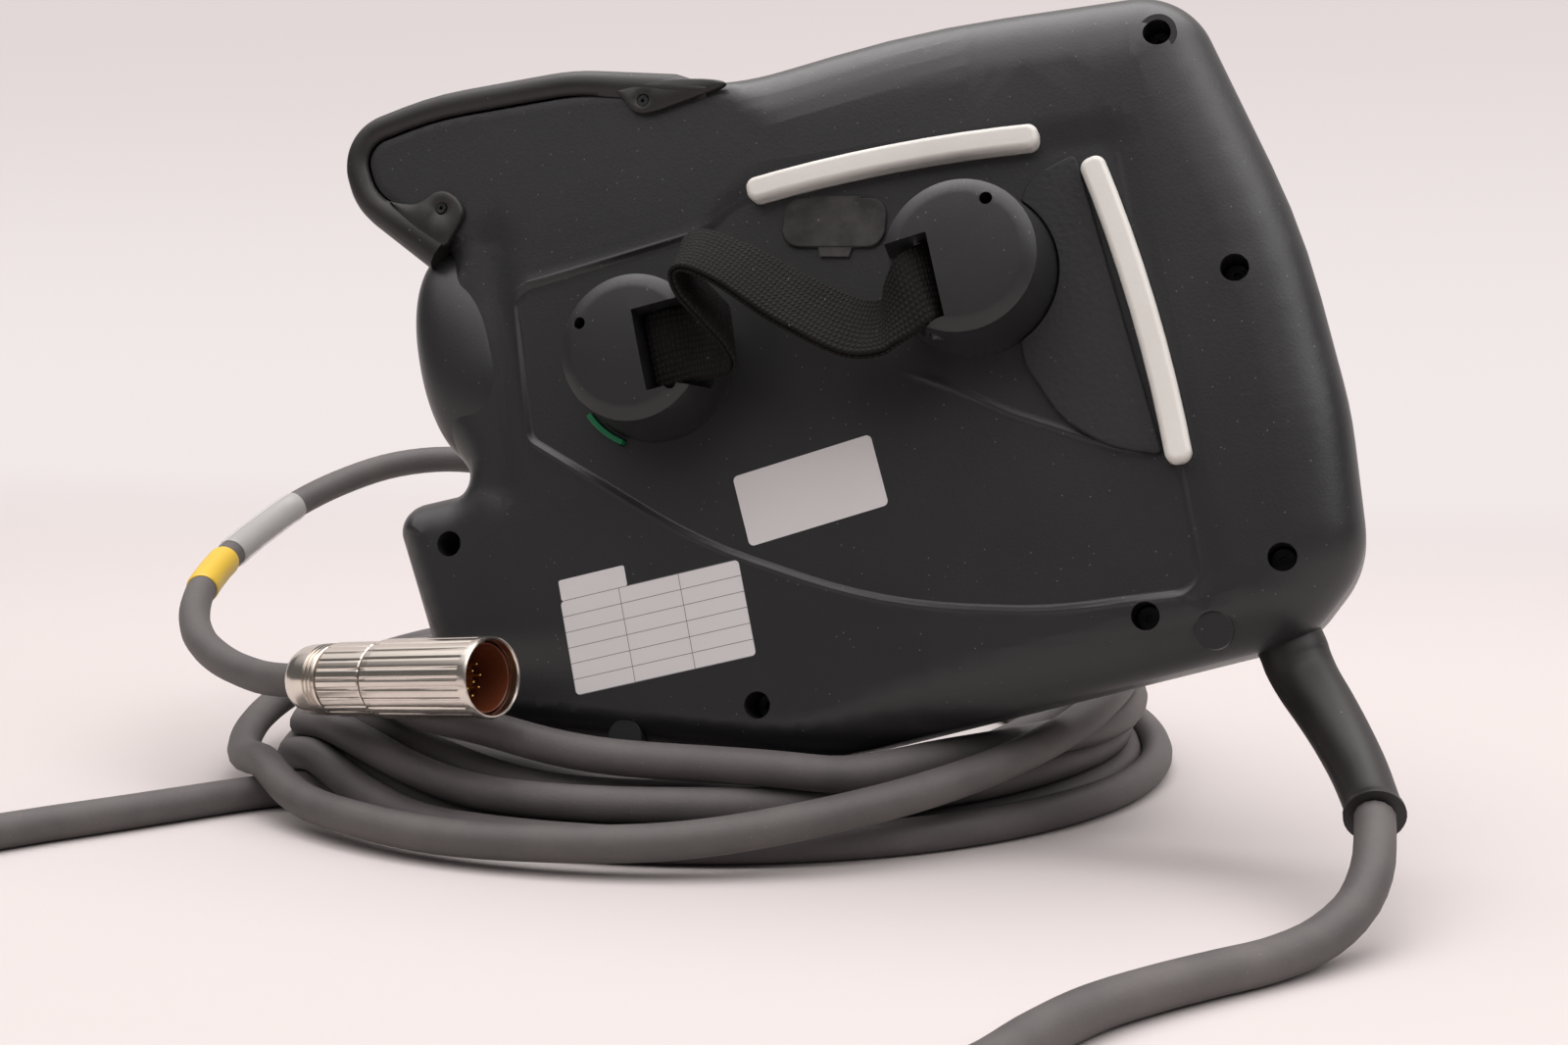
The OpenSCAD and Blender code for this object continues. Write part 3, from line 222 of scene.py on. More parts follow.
def makeFinishes():
    buildMouldGrain()
    buildHandling()
    buildWeave()
    return dict(
        shell=makeFinish("housingPlastic", (0.0160, 0.0160, 0.0176), 0.36, grain=1500, bump=0.22, amount=0.25,
                         dust=0.35),
        dome=makeFinish("domePlastic", (0.0135, 0.0137, 0.0150), 0.40, grain=1900, bump=0.14, amount=0.3,
                        dust=0.4),
        grip_pad=makeFinish("padRubber", (0.0095, 0.0098, 0.0105), 0.66, grain=800, bump=0.7, depth=0.0003,
                            amount=0.4),
        seal=makeFinish("sealRubber", (0.015, 0.015, 0.016), 0.7, bump=0.2),
        bumper=makeFinish("bumperRubber", (0.0080, 0.0066, 0.0062), 0.46, rubbed=(0.020, 0.017, 0.016),
                          grain=700, bump=0.16, amount=0.7, dust=0.5, patch=26),
        cover_rubber=makeFinish("coverRubber", (0.0080, 0.0066, 0.0066), 0.56, rubbed=(0.060, 0.055, 0.055),
                                grain=260, bump=0.35, depth=0.0004, amount=0.9, dust=0.6, patch=75),
        webbing=makeWebbing("strapWebbing", (0.0045, 0.0038, 0.0036), (0.0095, 0.0082, 0.0075)),
        ivory=makeFinish("ivoryBar", (0.74, 0.72, 0.68), 0.42, rubbed=(0.60, 0.58, 0.54), grain=1200,
                         bump=0.12, amount=0.35, dust=0.0),
        green=makeFinish("greenKey", (0.003, 0.135, 0.052), 0.35, rubbed=(0.012, 0.20, 0.085), bump=0.12),
        yellow=makeFinish("yellowPlastic", (0.72, 0.47, 0.02), 0.4, rubbed=(0.62, 0.40, 0.05), bump=0.1),
        red=makeFinish("redPlastic", (0.48, 0.015, 0.012), 0.34, rubbed=(0.36, 0.02, 0.02), bump=0.08),
        black_plastic=makeFinish("blackPlastic", (0.02, 0.02, 0.022), 0.45, bump=0.15),
        black_steel=makeFinish("blackScrew", (0.03, 0.03, 0.032), 0.36, metal=0.8, bump=0.1, dust=0.4),
        pin_steel=makeFinish("pinSteel", (0.52, 0.52, 0.53), 0.28, metal=1.0, bump=0.05),
        key_steel=makeFinish("turnedSteel", (0.60, 0.60, 0.60), 0.3, metal=1.0, bump=0.06),
        nickel=makeFinish("brightNickel", (0.76, 0.70, 0.63), 0.16, rubbed=(0.66, 0.61, 0.55), metal=1.0,
                          grain=500, bump=0.03, amount=0.6, dust=0.05, patch=45, uneven=0.2),
        bronze=makeFinish("bearingBronze", (0.50, 0.36, 0.18), 0.32, metal=1.0, bump=0.05),
        gold=makeFinish("contactGold", (0.83, 0.58, 0.20), 0.22, metal=1.0, bump=0.03),
        insert=makeFinish("insertPlastic", (0.135, 0.034, 0.014), 0.3, rubbed=(0.19, 0.055, 0.024), bump=0.1),
        mouse=makeFinish("mousePlastic", (0.045, 0.047, 0.052), 0.45, bump=0.2),
        window=makeFinish("windowGlass", (0.008, 0.010, 0.012), 0.08, rubbed=(0.012, 0.014, 0.016), bump=0.0,
                          dust=0.15, coat=0.6, amount=0.3, uneven=0.05),
        tin=makeFinish("tinPlate", (0.46, 0.48, 0.49), 0.34, metal=1.0, bump=0.08),
        board=makeFinish("boardLacquer", (0.012, 0.085, 0.038), 0.32, rubbed=(0.03, 0.14, 0.07), grain=900,
                         bump=0.1, amount=0.8, patch=90),
        key_grey=makeFinish("keyGrey", (0.40, 0.41, 0.40), 0.48, rubbed=(0.33, 0.33, 0.32), grain=2200,
                            bump=0.18),
        key_light=makeFinish("keyLight", (0.56, 0.57, 0.55), 0.48, rubbed=(0.46, 0.46, 0.45), grain=2200,
                             bump=0.18),
        green_lens=makeFinish("greenLens", (0.01, 0.32, 0.10), 0.2, coat=0.5, bump=0.03, uneven=0.05),
        white_lens=makeFinish("whiteLens", (0.70, 0.71, 0.72), 0.22, coat=0.5, bump=0.03, uneven=0.05),
        cable=makeFinish("cableJacket", (0.078, 0.070, 0.070), 0.58, rubbed=(0.125, 0.113, 0.110), grain=1400,
                         bump=0.3, depth=0.0003, amount=0.8, dust=0.3, patch=30),
        paper=makeFinish("labelFilm", (0.66, 0.64, 0.64), 0.35, rubbed=(0.58, 0.56, 0.56), grain=500,
                         bump=0.04, amount=0.3, dust=0.1),
        form=makePrinted("labelForm", (0.66, 0.64, 0.64), (0.16, 0.16, 0.16)),
        sleeve=makeFinish("clearSleeve", (0.75, 0.74, 0.73), 0.18, rubbed=(0.85, 0.84, 0.83), alpha=0.45,
                          bump=0.05, grain=300, amount=0.6))


# ------------------------------------------------------------- mesh helpers
def meshPiece(name, points, faces, uv=None):
    mesh = bpy.data.meshes.new(name)
    mesh.from_pydata(np.asarray(points).tolist(), [], [list(map(int, f)) for f in faces])
    mesh.update()
    if uv is not None:
        layer = mesh.uv_layers.new(name="UVMap")
        order = np.zeros(len(mesh.loops), dtype=np.int32)
        mesh.loops.foreach_get("vertex_index", order)
        layer.data.foreach_set("uv", np.asarray(uv, np.float32)[order].ravel())
    piece = bpy.data.objects.new(name, mesh)
    bpy.context.scene.collection.objects.link(piece)
    return piece


def gridFaces(rows, cols, wrapCols=True, wrapRows=False, flip=False):
    # quads between neighbouring rows and columns of a grid
    i, j = np.meshgrid(np.arange(rows if wrapRows else rows - 1), np.arange(cols if wrapCols else cols - 1),
                       indexing="ij")
    a, b = i * cols + j, i * cols + (j + 1) % cols
    c, d = ((i + 1) % rows) * cols + (j + 1) % cols, ((i + 1) % rows) * cols + j
    faces = np.stack([a, b, c, d], -1).reshape(-1, 4)
    return faces[:, ::-1] if flip else faces


def sharpen(piece, angle=35, weld=0.0):
    # smooth shading, with creases where two faces meet at more than angle
    bm = bmesh.new()
    bm.from_mesh(piece.data)
    if weld:
        bmesh.ops.remove_doubles(bm, verts=bm.verts, dist=weld)
    limit = math.radians(angle)
    for edge in bm.edges:
        edge.smooth = len(edge.link_faces) == 2 and edge.calc_face_angle(0) < limit
    for face in bm.faces:
        face.smooth = True
    bm.to_mesh(piece.data)
    bm.free()


def facesOut(piece):
    bm = bmesh.new()
    bm.from_mesh(piece.data)
    bmesh.ops.recalc_face_normals(bm, faces=bm.faces)
    bm.to_mesh(piece.data)
    bm.free()


def weighted(piece):
    change = piece.modifiers.new("evenShading", "WEIGHTED_NORMAL")
    change.keep_sharp, change.weight = True, 60
    return piece


def shaded(piece, angle, weld=0.0):
    # faces turned outwards and creases set; a mesh with doubled points is welded first
    if weld:
        sharpen(piece, angle, weld)
        facesOut(piece)
    else:
        facesOut(piece)
        sharpen(piece, angle)
    return piece


def dressed(piece, finish, body, stands=()):
    piece.data.materials.clear()
    piece.data.materials.append(finish)
    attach(piece, body)
    if stands:
        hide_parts(*stands)
    return piece


def splineThrough(points, step, parts=16):
    # smooth line through given points, then walked in even steps
    p = np.asarray(points, float)
    p = np.vstack([2 * p[0] - p[1], p, 2 * p[-1] - p[-2]])
    t = np.linspace(0, 1, parts, endpoint=False)[:, None, None]
    a, b, c, d = p[:-3], p[1:-2], p[2:-1], p[3:]
    q = 0.5 * (2 * b + (c - a) * t + (2 * a - 5 * b + 4 * c - d) * t ** 2 + (3 * b - a - 3 * c + d) * t ** 3)
    return evenly(np.vstack([q.transpose(1, 0, 2).reshape(-1, p.shape[1]), p[-2:-1]]), step)


def walked(line):  # length of the way to each point
    return np.r_[0, np.cumsum(np.linalg.norm(np.diff(line, axis=0), axis=1))]


def along(u, s, line):  # points at the lengths u of a line whose own are s
    return np.stack([np.interp(u, s, line[:, k]) for k in range(line.shape[1])], 1)


def evenly(line, step):
    s = walked(line)
    return along(np.linspace(0, s[-1], int(round(s[-1] / step)) + 1), s, line)


def cappedFaces(rows, cols):  # a grid closed round, with both ends closed too
    return [tuple(f) for f in gridFaces(rows, cols)] + [tuple(range(cols))[::-1],
                                                        tuple(range((rows - 1) * cols, rows * cols))]


def sideFrames(path):
    # two directions across a path, carried along it without twist
    ahead = np.gradient(path, axis=0)
    ahead /= np.linalg.norm(ahead, axis=1)[:, None]
    across = np.zeros_like(path)
    side = np.cross(ahead[0], [0.13, 0.21, 1.0])
    for k in range(len(path)):
        side = side - ahead[k] * (side @ ahead[k])
        side /= np.linalg.norm(side)
        across[k] = side
    return across, np.cross(ahead, across)


def tubeAlong(name, path, radii, sides):
    # circle of the given radius carried along a path, both ends closed
    across, up = sideFrames(path)
    turn = np.linspace(0, 2 * np.pi, sides, endpoint=False)
    r = np.broadcast_to(np.asarray(radii, float), (len(path),))[:, None, None]
    ring = across[:, None] * np.cos(turn)[None, :, None] + up[:, None] * np.sin(turn)[None, :, None]
    points = (path[:, None] + r * ring).reshape(-1, 3)
    uv = np.stack(np.broadcast_arrays(np.linspace(0, 1, sides)[None, :], walked(path)[:, None]), -1)
    return shaded(meshPiece(name, points, cappedFaces(len(path), sides), uv.reshape(-1, 2)), 50)


# ------------------------------------------------------------- cable
cable = dict(
    diameter=12.0, length=10.0, heart=(-86, 87), clearance=0.15, plugRoom=19.7, panelRoom=6.4,
    # from the boot along the floor in front, round to the left and back under the pile
    lead=[[168.65, -77.27, -121.0], [168.9, -87, -125.2], [168.2, -98, -131.5], [164, -111.5, -138.5],
          [155, -127, -143.5], [143, -142, -145.5], [131, -156, -145.5], [117, -173, -145.5],
          [104, -192, -145.5], [94, -215, -145.5], [85, -241, -145.5], [69, -264, -145.5], [45, -284, -145.5],
          [15, -299, -145.5], [-18, -310, -145.5], [-52, -316, -145.5], [-86, -318, -145.5],
          [-119, -314, -145.5], [-150, -304, -145.5], [-179, -289, -145.5], [-206, -270, -145.5],
          [-231, -248, -145.5], [-253, -223, -145.5], [-269, -195, -145.5], [-276, -167, -145.5],
          [-271, -142, -145.5], [-258, -119, -145.5], [-241, -95, -145.5], [-226, -73, -145.5],
          [-213, -55, -145.5]],
    inner=[[-199, -42, -145.5], [-181, -33, -145.5], [-161, -31, -145.5], [-145, -34.5, -145.5]],
    # the pile: [turns, radius, height of the cable's middle above the floor]
    turns=[[0.70, 131, 6], [1.68, 144, 6], [2.68, 157, 6], [3.68, 170, 6], [4.0, 174, 7], [4.2, 169, 15],
           [4.35, 167, 17], [5.35, 155, 17], [6.35, 143, 17], [6.8, 138, 17], [7.05, 143, 25], [7.3, 149, 29],
           [7.5, 152, 32], [7.63, 152, 35], [7.72, 152, 34], [7.8, 158, 31], [7.86, 163, 28], [7.95, 164, 27],
           [8.05, 163, 28], [8.25, 160, 31], [8.4, 165, 31], [8.5, 176, 26], [8.6, 188, 15], [8.72, 190, 10],
           [8.79, 188, 13], [8.85, 184, 23], [8.92, 172, 34], [9.0, 162, 42], [9.1, 158, 50], [9.2, 158, 60]],
    # over the lead: [turn where it crosses, rise, half length of the hump]
    hump=(228, 12.8, 50),
    tail=[[-112, 246, -80], [-132, 243, -75], [-156, 236, -67.5], [-186, 225, -58.5], [-213, 212, -50.5],
          [-237, 200, -45], [-259, 187, -42.5], [-279, 171, -45], [-295, 152, -52], [-304, 130, -60],
          [-306, 106, -68], [-305, 84, -74.5], [-301, 60, -81], [-293, 34, -88.5], [-279, 9, -95],
          [-261, -13, -100], [-240, -31, -103.5], [-218, -45, -105.2], [-201.4, -54.6, -104.3],
          [-190, -58, -103]],
    plug=[[-190, -58, -103], [-106, -83.5, -93.5]],
    # lower edge of the panel, lying, left to right
    panelEdge=[[-181, -2], [-179, -60], [-170, -85], [-111, -104], [-46, -123], [150, -118], [149, -61]])


def firstRoute():
    # lead, spiral pile and tail put end to end; the pile's radius and height run between its knots
    knots = np.array(cable["turns"], float)
    t = np.arange(knots[0, 0], knots[-1, 0], 1 / 90)
    r, h = np.interp(t, knots[:, 0], knots[:, 1]), np.interp(t, knots[:, 0], knots[:, 2])
    at, rise, half = cable["hump"]
    away = (t - (at + (172 - r) * 0.42) / 360 + 0.5) % 1 - 0.5
    h = h + rise * np.exp(-(away * 2 * np.pi * r / half) ** 2) * (t > 1) * (t < 8.4)
    a = 2 * np.pi * t
    pile = np.stack([cable["heart"][0] + r * np.cos(a), cable["heart"][1] + r * np.sin(a),
                     stance["floor"] + h], 1)
    lead, tail = splineThrough(cable["lead"], 6), splineThrough(cable["tail"], 6)
    return evenly(np.vstack([lead, cable["inner"], pile[1:-1], tail]), 6), len(lead) - 4, len(tail) - 2


def settled(route, head, foot, rounds=160):
    # smooths the pile and pushes turns apart, off the floor, the plug and the panel's lower edge
    q, n, apart = route.copy(), len(route), cable["diameter"] + cable["clearance"]
    free = np.zeros(n, bool)
    free[head:n - foot] = True
    plugStart, plugEnd = np.array(cable["plug"], float)
    plugWay = plugEnd - plugStart
    plugLong = np.linalg.norm(plugWay)
    plugWay /= plugLong
    corners = np.array(cable["panelEdge"], float)
    edge = np.diff(corners, axis=0)
    inward = np.stack([-edge[:, 1], edge[:, 0]], 1) / np.linalg.norm(edge, axis=1)[:, None]
    for _ in range(rounds):
        for share in (0.6, -0.6):
            bent = q.copy()
            bent[1:-1] += share * ((q[:-2] + q[2:]) / 2 - q[1:-1])
            q = np.where(free[:, None], bent, q)
        q[free, 2] -= 0.01
        f = q.astype(np.float32)
        gap = (f[:, None, 0] - f[None, :, 0]) ** 2
        gap += (f[:, None, 1] - f[None, :, 1]) ** 2
        gap += (f[:, None, 2] - f[None, :, 2]) ** 2
        i, j = np.where(gap < apart * apart)
        i, j = i[j - i > 9], j[j - i > 9]
        v = q[j] - q[i]
        long = np.linalg.norm(v, axis=1) + 1e-6
        push = v / long[:, None] * ((apart - long) * 0.5)[:, None]
        push *= np.where(free[i] & free[j], 0.8, 1.6)[:, None]
        move, count = np.zeros_like(q), np.zeros(n)
        np.add.at(move, i[free[i]], -push[free[i]])
        np.add.at(move, j[free[j]], push[free[j]])
        np.add.at(count, i, 1)
        np.add.at(count, j, 1)
        q += move / np.maximum(1, count * 0.5)[:, None]
        t = np.clip((q - plugStart) @ plugWay, 0, plugLong)
        v = q - (plugStart + t[:, None] * plugWay)
        long = np.linalg.norm(v, axis=1)
        near = free & (long < cable["plugRoom"])
        q[near] += v[near] / long[near][:, None] * (cable["plugRoom"] - long[near])[:, None] * 0.8
        lying = q @ upright
        depth = np.stack([(lying[:, :2] - corners[k]) @ inward[k] for k in range(len(edge))])
        which = depth.argmin(axis=0)
        into = depth.min(axis=0) + cable["panelRoom"]
        cover = housing["rear"] + cable["panelRoom"] - np.abs(lying[:, 2])
        near = free & (into > 0) & (cover > 0)
        step = np.where((into < cover)[:, None], np.c_[-inward[which] * into[:, None], np.zeros(n)],
                        np.c_[np.zeros((n, 2)), np.sign(lying[:, 2]) * cover])
        lying[near] += step[near] * 0.7
        q = np.where(near[:, None], lying @ upright.T, q)
        q[:, 2] = np.where(free, np.maximum(q[:, 2], stance["floor"] + cable["diameter"] / 2), q[:, 2])
    return q


def buildCable(finish):
    path = placed(evenly(settled(*firstRoute()), 6))
    piece = tubeAlong("cable", path, cable["diameter"] / 2000, 14)
    dressed(piece, finish["cable"], "housing", ("cable_coil", "cable_lead", "cable_tail"))
    print("cable routed: %.3f m in %d points" % (walked(path)[-1], len(path)))
    return piece, path


def buildBands(finish, path):
    # clear marker sleeve and yellow band on the tail: short tubes a little wider than the cable
    bands = dict(sleeve=(0.187, 0.243, 0.0068), band=(0.148, 0.180, 0.0066))
    s = walked(path)
    made = []
    for name, (near, far, radius) in bands.items():
        line = along(np.linspace(s[-1] - far, s[-1] - near, 24), s, path)
        ends = np.minimum(1, np.minimum(np.arange(24), np.arange(24)[::-1]) * 0.5 + 0.94)
        piece = tubeAlong("cable_" + name, line, radius * ends, 28)
        dressed(piece, finish["sleeve" if name == "sleeve" else "yellow"], "housing")
        made.append(piece)
    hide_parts("cable_markers")
    return made


# ------------------------------------------------------------- housing
housing = dict(
    width=330, height=222, ear=36, rear=24, front=24, wall=3.5, edgeRise=19, faceRun=7, faceRise=9,
    steps=(0, 0.1, 0.35, 0.8, 1.5, 2.6, 4.0), fieldDepth=1.2, seal=1.0, turnStep=4, screwHole=9.0)
right, top = 149.0, 99.0
left, bottom = right - housing["width"], top - housing["height"]
earTop = top + housing["ear"]
# corners, anticlockwise seen from the back: x, y, radius, share of the back edge's rounding
housingCorners = np.array([
    [132.6, 100.6, 27, 1], [42, 115.6, 400, 1], [-36, 116.4, 10, 0.5], [-80, 127.5, 80, 0.3],
    [-133, 134.6, 120, 0.3], [-167, 132.5, 12, 0.3], [-164.5, 110.5, 22, 0.3], [-140.5, 81.5, 6, 0.6],
    [-158, 60, 26, 1.5], [-158, 22, 26, 1.5], [-146, -3, 6, 0.6], [left, -2, 11, 0.8],
    [left + 11, bottom + 38, 28, 1], [-46, bottom, 120, 1], [121, bottom + 5, 30, 1],
    [144.3, bottom + 25, 32, 1], [150.2, -50, 150, 1], [149.6, 12, 260, 1]])
earCorners = np.array([  # the bumper's own way round the ear
    [-14, top, 8, 0.7], [-27, top + 9.5, 8, 0.4], [-80, 127.5, 80, 0.3], [-133, 134.6, 120, 0.3],
    [-167, 132.5, 12, 0.3], [-164.5, 110.5, 22, 0.3], [-140.5, 82, 8, 0.6], [-120, 60, 26, 1.5]])
fieldCorners = np.array([
    [right - 51.5, top - 46, 6, 1], [-28, top - 30, 22, 1], [-42, top - 37.5, 20, 1],
    [-115.5, top - 38, 7, 1], [-119.5, top - 92, 6, 1], [-66, bottom + 80, 200, 1], [-8, bottom + 45, 200, 1],
    [44, bottom + 31, 160, 1], [93, bottom + 26.5, 8, 1]])
screwPlaces = [[right - 29, top - 14.5], [right - 23, top - 98], [right - 30, bottom + 31],
               [right - 75, bottom + 22.5], [-56.5, bottom + 22], [left + 25, top - 121]]
plugPlaces = [[93.5, bottom + 13.5], [-105, bottom + 21.5]]
domePlaces = [[-68.0, 21.5], [45.0, 21.5]]
windowPlace, mousePlace, stopPlace = [22, 14], [left + 68, top - 60], [left + 54, earTop - 27]
switchPlaces = [[-50, top - 6], [-76, top - 2], [-99, top]]


def cross2(a, b):
    return a[..., 0] * b[..., 1] - a[..., 1] * b[..., 0]


def cornerTurns(corners, step):
    # directions before and after each corner, its turn and the number of steps in its arc
    ahead = np.roll(corners[:, :2], -1, 0) - corners[:, :2]
    ahead /= np.linalg.norm(ahead, axis=1)[:, None]
    behind = np.roll(ahead, 1, 0)
    turn = np.arctan2(cross2(behind, ahead), (behind * ahead).sum(1))
    counts = np.maximum(3, np.ceil(np.abs(np.degrees(turn)) / (step or housing["turnStep"]))).astype(int)
    return behind, ahead, turn, counts


def cornerRing(corners, inwards=0.0, share=0.0, step=None):
    # corners moved inwards, by share times their own value too, and rounded by arcs of even steps
    behind, ahead, turn, counts = cornerTurns(corners, step)
    a, b = np.stack([-behind[:, 1], behind[:, 0]], 1), np.stack([-ahead[:, 1], ahead[:, 0]], 1)
    by = inwards + share * corners[:, 3]
    moved = corners[:, :2] + (a + b) * (by / (1 + (a * b).sum(1)))[:, None]
    r = np.maximum(0.8, corners[:, 2] - np.sign(turn) * by)
    ring = []
    for k in range(len(corners)):
        start = moved[k] - behind[k] * r[k] * math.tan(abs(turn[k]) / 2)
        centre = start + np.sign(turn[k]) * a[k] * r[k]
        w = turn[k] * np.linspace(0, 1, counts[k] + 1)
        v = start - centre
        ring.append(centre + np.stack([v[0] * np.cos(w) - v[1] * np.sin(w),
                                       v[0] * np.sin(w) + v[1] * np.cos(w)], 1))
    return np.vstack(ring)


def fineRing(corners, inwards=0.0, step=None, spacing=4.0):
    # the same with its straight stretches divided too, alike for every inward move
    base, ring = cornerRing(corners, 0, 0, step), cornerRing(corners, inwards, 0, step)
    parts = np.maximum(1, np.ceil(np.linalg.norm(np.roll(base, -1, 0) - base, axis=1) / spacing)).astype(int)
    ahead = np.roll(ring, -1, 0) - ring
    return np.vstack([ring[k] + ahead[k] * np.linspace(0, 1, n, endpoint=False)[:, None]
                      for k, n in enumerate(parts)])


def ringSpan(corners, first, last):
    # places in the ring of the arcs from corner first to corner last
    counts = cornerTurns(corners, None)[3] + 1
    return int(counts[:first].sum()), int(counts[:last].sum())


def boxCorners(w, h, r, x=0.0, y=0.0):
    return np.array([[x + a * w / 2, y + b * h / 2, r, 1] for a, b in ((1, 1), (-1, 1), (-1, -1), (1, -1))])


def circle(x, y, r, n=40):
    t = np.linspace(0, 2 * np.pi, n, endpoint=False)
    return np.stack([x + r * np.cos(t), y + r * np.sin(t)], 1)


def inside(points, loop):
    # even-odd test of many points against one loop
    a, b = loop, np.roll(loop, -1, 0)
    px, py = points[:, None, 0], points[:, None, 1]
    crosses = (a[None, :, 1] > py) != (b[None, :, 1] > py)
    rise = np.where(b[:, 1] == a[:, 1], 1e-9, b[:, 1] - a[:, 1])
    x = a[None, :, 0] + (py - a[None, :, 1]) * (b - a)[None, :, 0] / rise[None]
    return ((px < x) & crosses).sum(1) % 2 == 1


def distanceTo(points, line, closed=True):
    # distance to a line; with its sign, positive inside, where it is closed
    a, b = (line, np.roll(line, -1, 0)) if closed else (line[:-1], line[1:])
    e = b - a
    v = points[:, None] - a[None]
    t = np.clip((v * e).sum(-1) / np.maximum(1e-9, (e * e).sum(-1)), 0, 1)
    d = np.linalg.norm(v - t[..., None] * e, axis=-1).min(1)
    return np.where(inside(points, line), d, -d) if closed else d


def turned(p, degrees, x=0.0, y=0.0):
    c, s = math.cos(math.radians(degrees)), math.sin(math.radians(degrees))
    return np.stack([x + c * p[:, 0] - s * p[:, 1], y + s * p[:, 0] + c * p[:, 1]], 1)


def arcBar(length, width, radius, x, y, turn, n=6):
    # outline of an enabling bar: a straight slot bent along a circle, ends rounded
    t = math.asin((length / 2 - width * 0.1) / radius) * np.linspace(1, -1, n + 1)
    sides = [np.stack([(radius + o) * np.sin(v), (radius + o) * np.cos(v) - radius], 1)
             for o, v in ((width / 2, t), (-width / 2, t[::-1]))]
    p = np.vstack(sides)
    tip = np.abs(p[:, 0]) > length * 0.45
    return np.c_[turned(p, turn, x, y), np.where(tip, width * 0.42, 60), np.ones(len(p))]


def cutLoop(x, y, w, h, c=1.2):  # a key's opening, corners cut off
    a, b = w / 2, h / 2
    return np.array([[x + a, y + b - c], [x + a - c, y + b], [x - a + c, y + b], [x - a, y + b - c],
                     [x - a, y - b + c], [x - a + c, y - b], [x + a - c, y - b], [x + a, y - b + c]])


def flatPlate(rim, loops, lines):
    # triangles of the flat between the rim and the openings, with extra lines drawn into it
    points, edges = [], []
    for line, closed in [(rim, True)] + [(l, True) for l in loops] + lines:
        n, first = len(line), len(points)
        points += [Vector(p) for p in line]
        edges += [(first + k, first + (k + 1) % n) for k in range(n if closed else n - 1)]
    found = delaunay_2d_cdt(points, edges, [], 0, 1e-4)
    p, tri = np.array([tuple(v) for v in found[0]]), np.array(found[2])
    mid = p[tri].mean(1)
    keep = inside(mid, rim)
    for loop in loops:
        keep &= ~inside(mid, loop)
    tri = tri[keep]
    a, b, c = p[tri[:, 0]], p[tri[:, 1]], p[tri[:, 2]]
    return p, np.where((cross2(b - a, c - a) > 0)[:, None], tri, tri[:, ::-1])


def openEdges(tri):  # edges with one face only
    edges = np.vstack([tri[:, [0, 1]], tri[:, [1, 2]], tri[:, [2, 0]]])
    _, index, times = np.unique(np.sort(edges, 1), axis=0, return_index=True, return_counts=True)
    return edges[index[times == 1]]


def lifted(ring, height):  # a flat ring at one height
    return np.c_[ring, np.full(len(ring), height)]


def hoop(name, rings, angle=40):
    # a band closed both ways, from rings at their heights
    points = np.vstack([lifted(ring, height) for ring, height in rings])
    return shaded(meshPiece(name, standing(points), gridFaces(len(rings), len(rings[0][0]), wrapRows=True)),
                  angle)


def shellPiece(name, corners, loops, lines, level, facing):
    # closed shell: wall, the steep part of its edge as rings, the rest a plate with openings, the same inside
    rings = [lifted(fineRing(corners), housing["seal"] / 2)]
    for step in housing["steps"]:
        ring = fineRing(corners, step)
        rings.append(np.c_[ring, level(ring)])
    outer = len(rings)
    rings += [lifted(fineRing(corners, housing["wall"]), housing["seal"] / 2),
              rings[-1] - [0, 0, housing["wall"]]]
    count = len(rings[0])
    faces = [tuple(f) for f in gridFaces(outer, count)]
    faces += [tuple(f[::-1] + outer * count) for f in gridFaces(2, count)]
    seam = np.arange(count)
    ahead = (seam + 1) % count
    faces += [tuple(f) for f in np.stack([ahead, seam, seam + outer * count, ahead + outer * count], 1)]
    rim = rings[outer - 1][:, :2]
    p, tri = flatPlate(rim, loops, lines)
    base, under = len(rings) * count, len(rings) * count + len(p)
    points = np.vstack(rings + [np.c_[p, level(p)], np.c_[p, level(p) - housing["wall"]]])
    faces += [tuple(f) for f in tri + base] + [tuple(f) for f in tri[:, ::-1] + under]
    free = openEdges(tri)  # those off the rim get the walls of the openings
    onRim = np.abs(distanceTo(p[free].mean(1), rim)) < 0.02
    faces += [(s + base, s + under, e + under, e + base) for s, e in free[~onRim]]
    points[:, 2] *= facing
    return weighted(shaded(meshPiece(name, standing(points), [f[::facing] for f in faces]), 33, 2e-6))


valley = np.array([[-120, 80], [-122, 63], [-122, 47], [-125, 33], [-131, 12], [-134, -6]], float)
crease = np.array([[12, -2], [19, -6.5], [26, -11], [38, -20], [47, -27], [55, -32], [66, -39], [78, -46],
                   [88, -51.5]], float)


def smooth(a):
    a = np.clip(a, 0, 1)
    return a * a * (3 - 2 * a)


def rounded(d, run, rise):
    # drop of a quarter-ellipse edge at distance d from the outline
    return rise * (1 - np.sqrt(1 - np.clip(1 - d / run, 0, 1) ** 2))


def faceLevel(p):
    d = distanceTo(p, cornerRing(housingCorners))
    return housing["front"] - rounded(d, housing["faceRun"], housing["faceRise"])


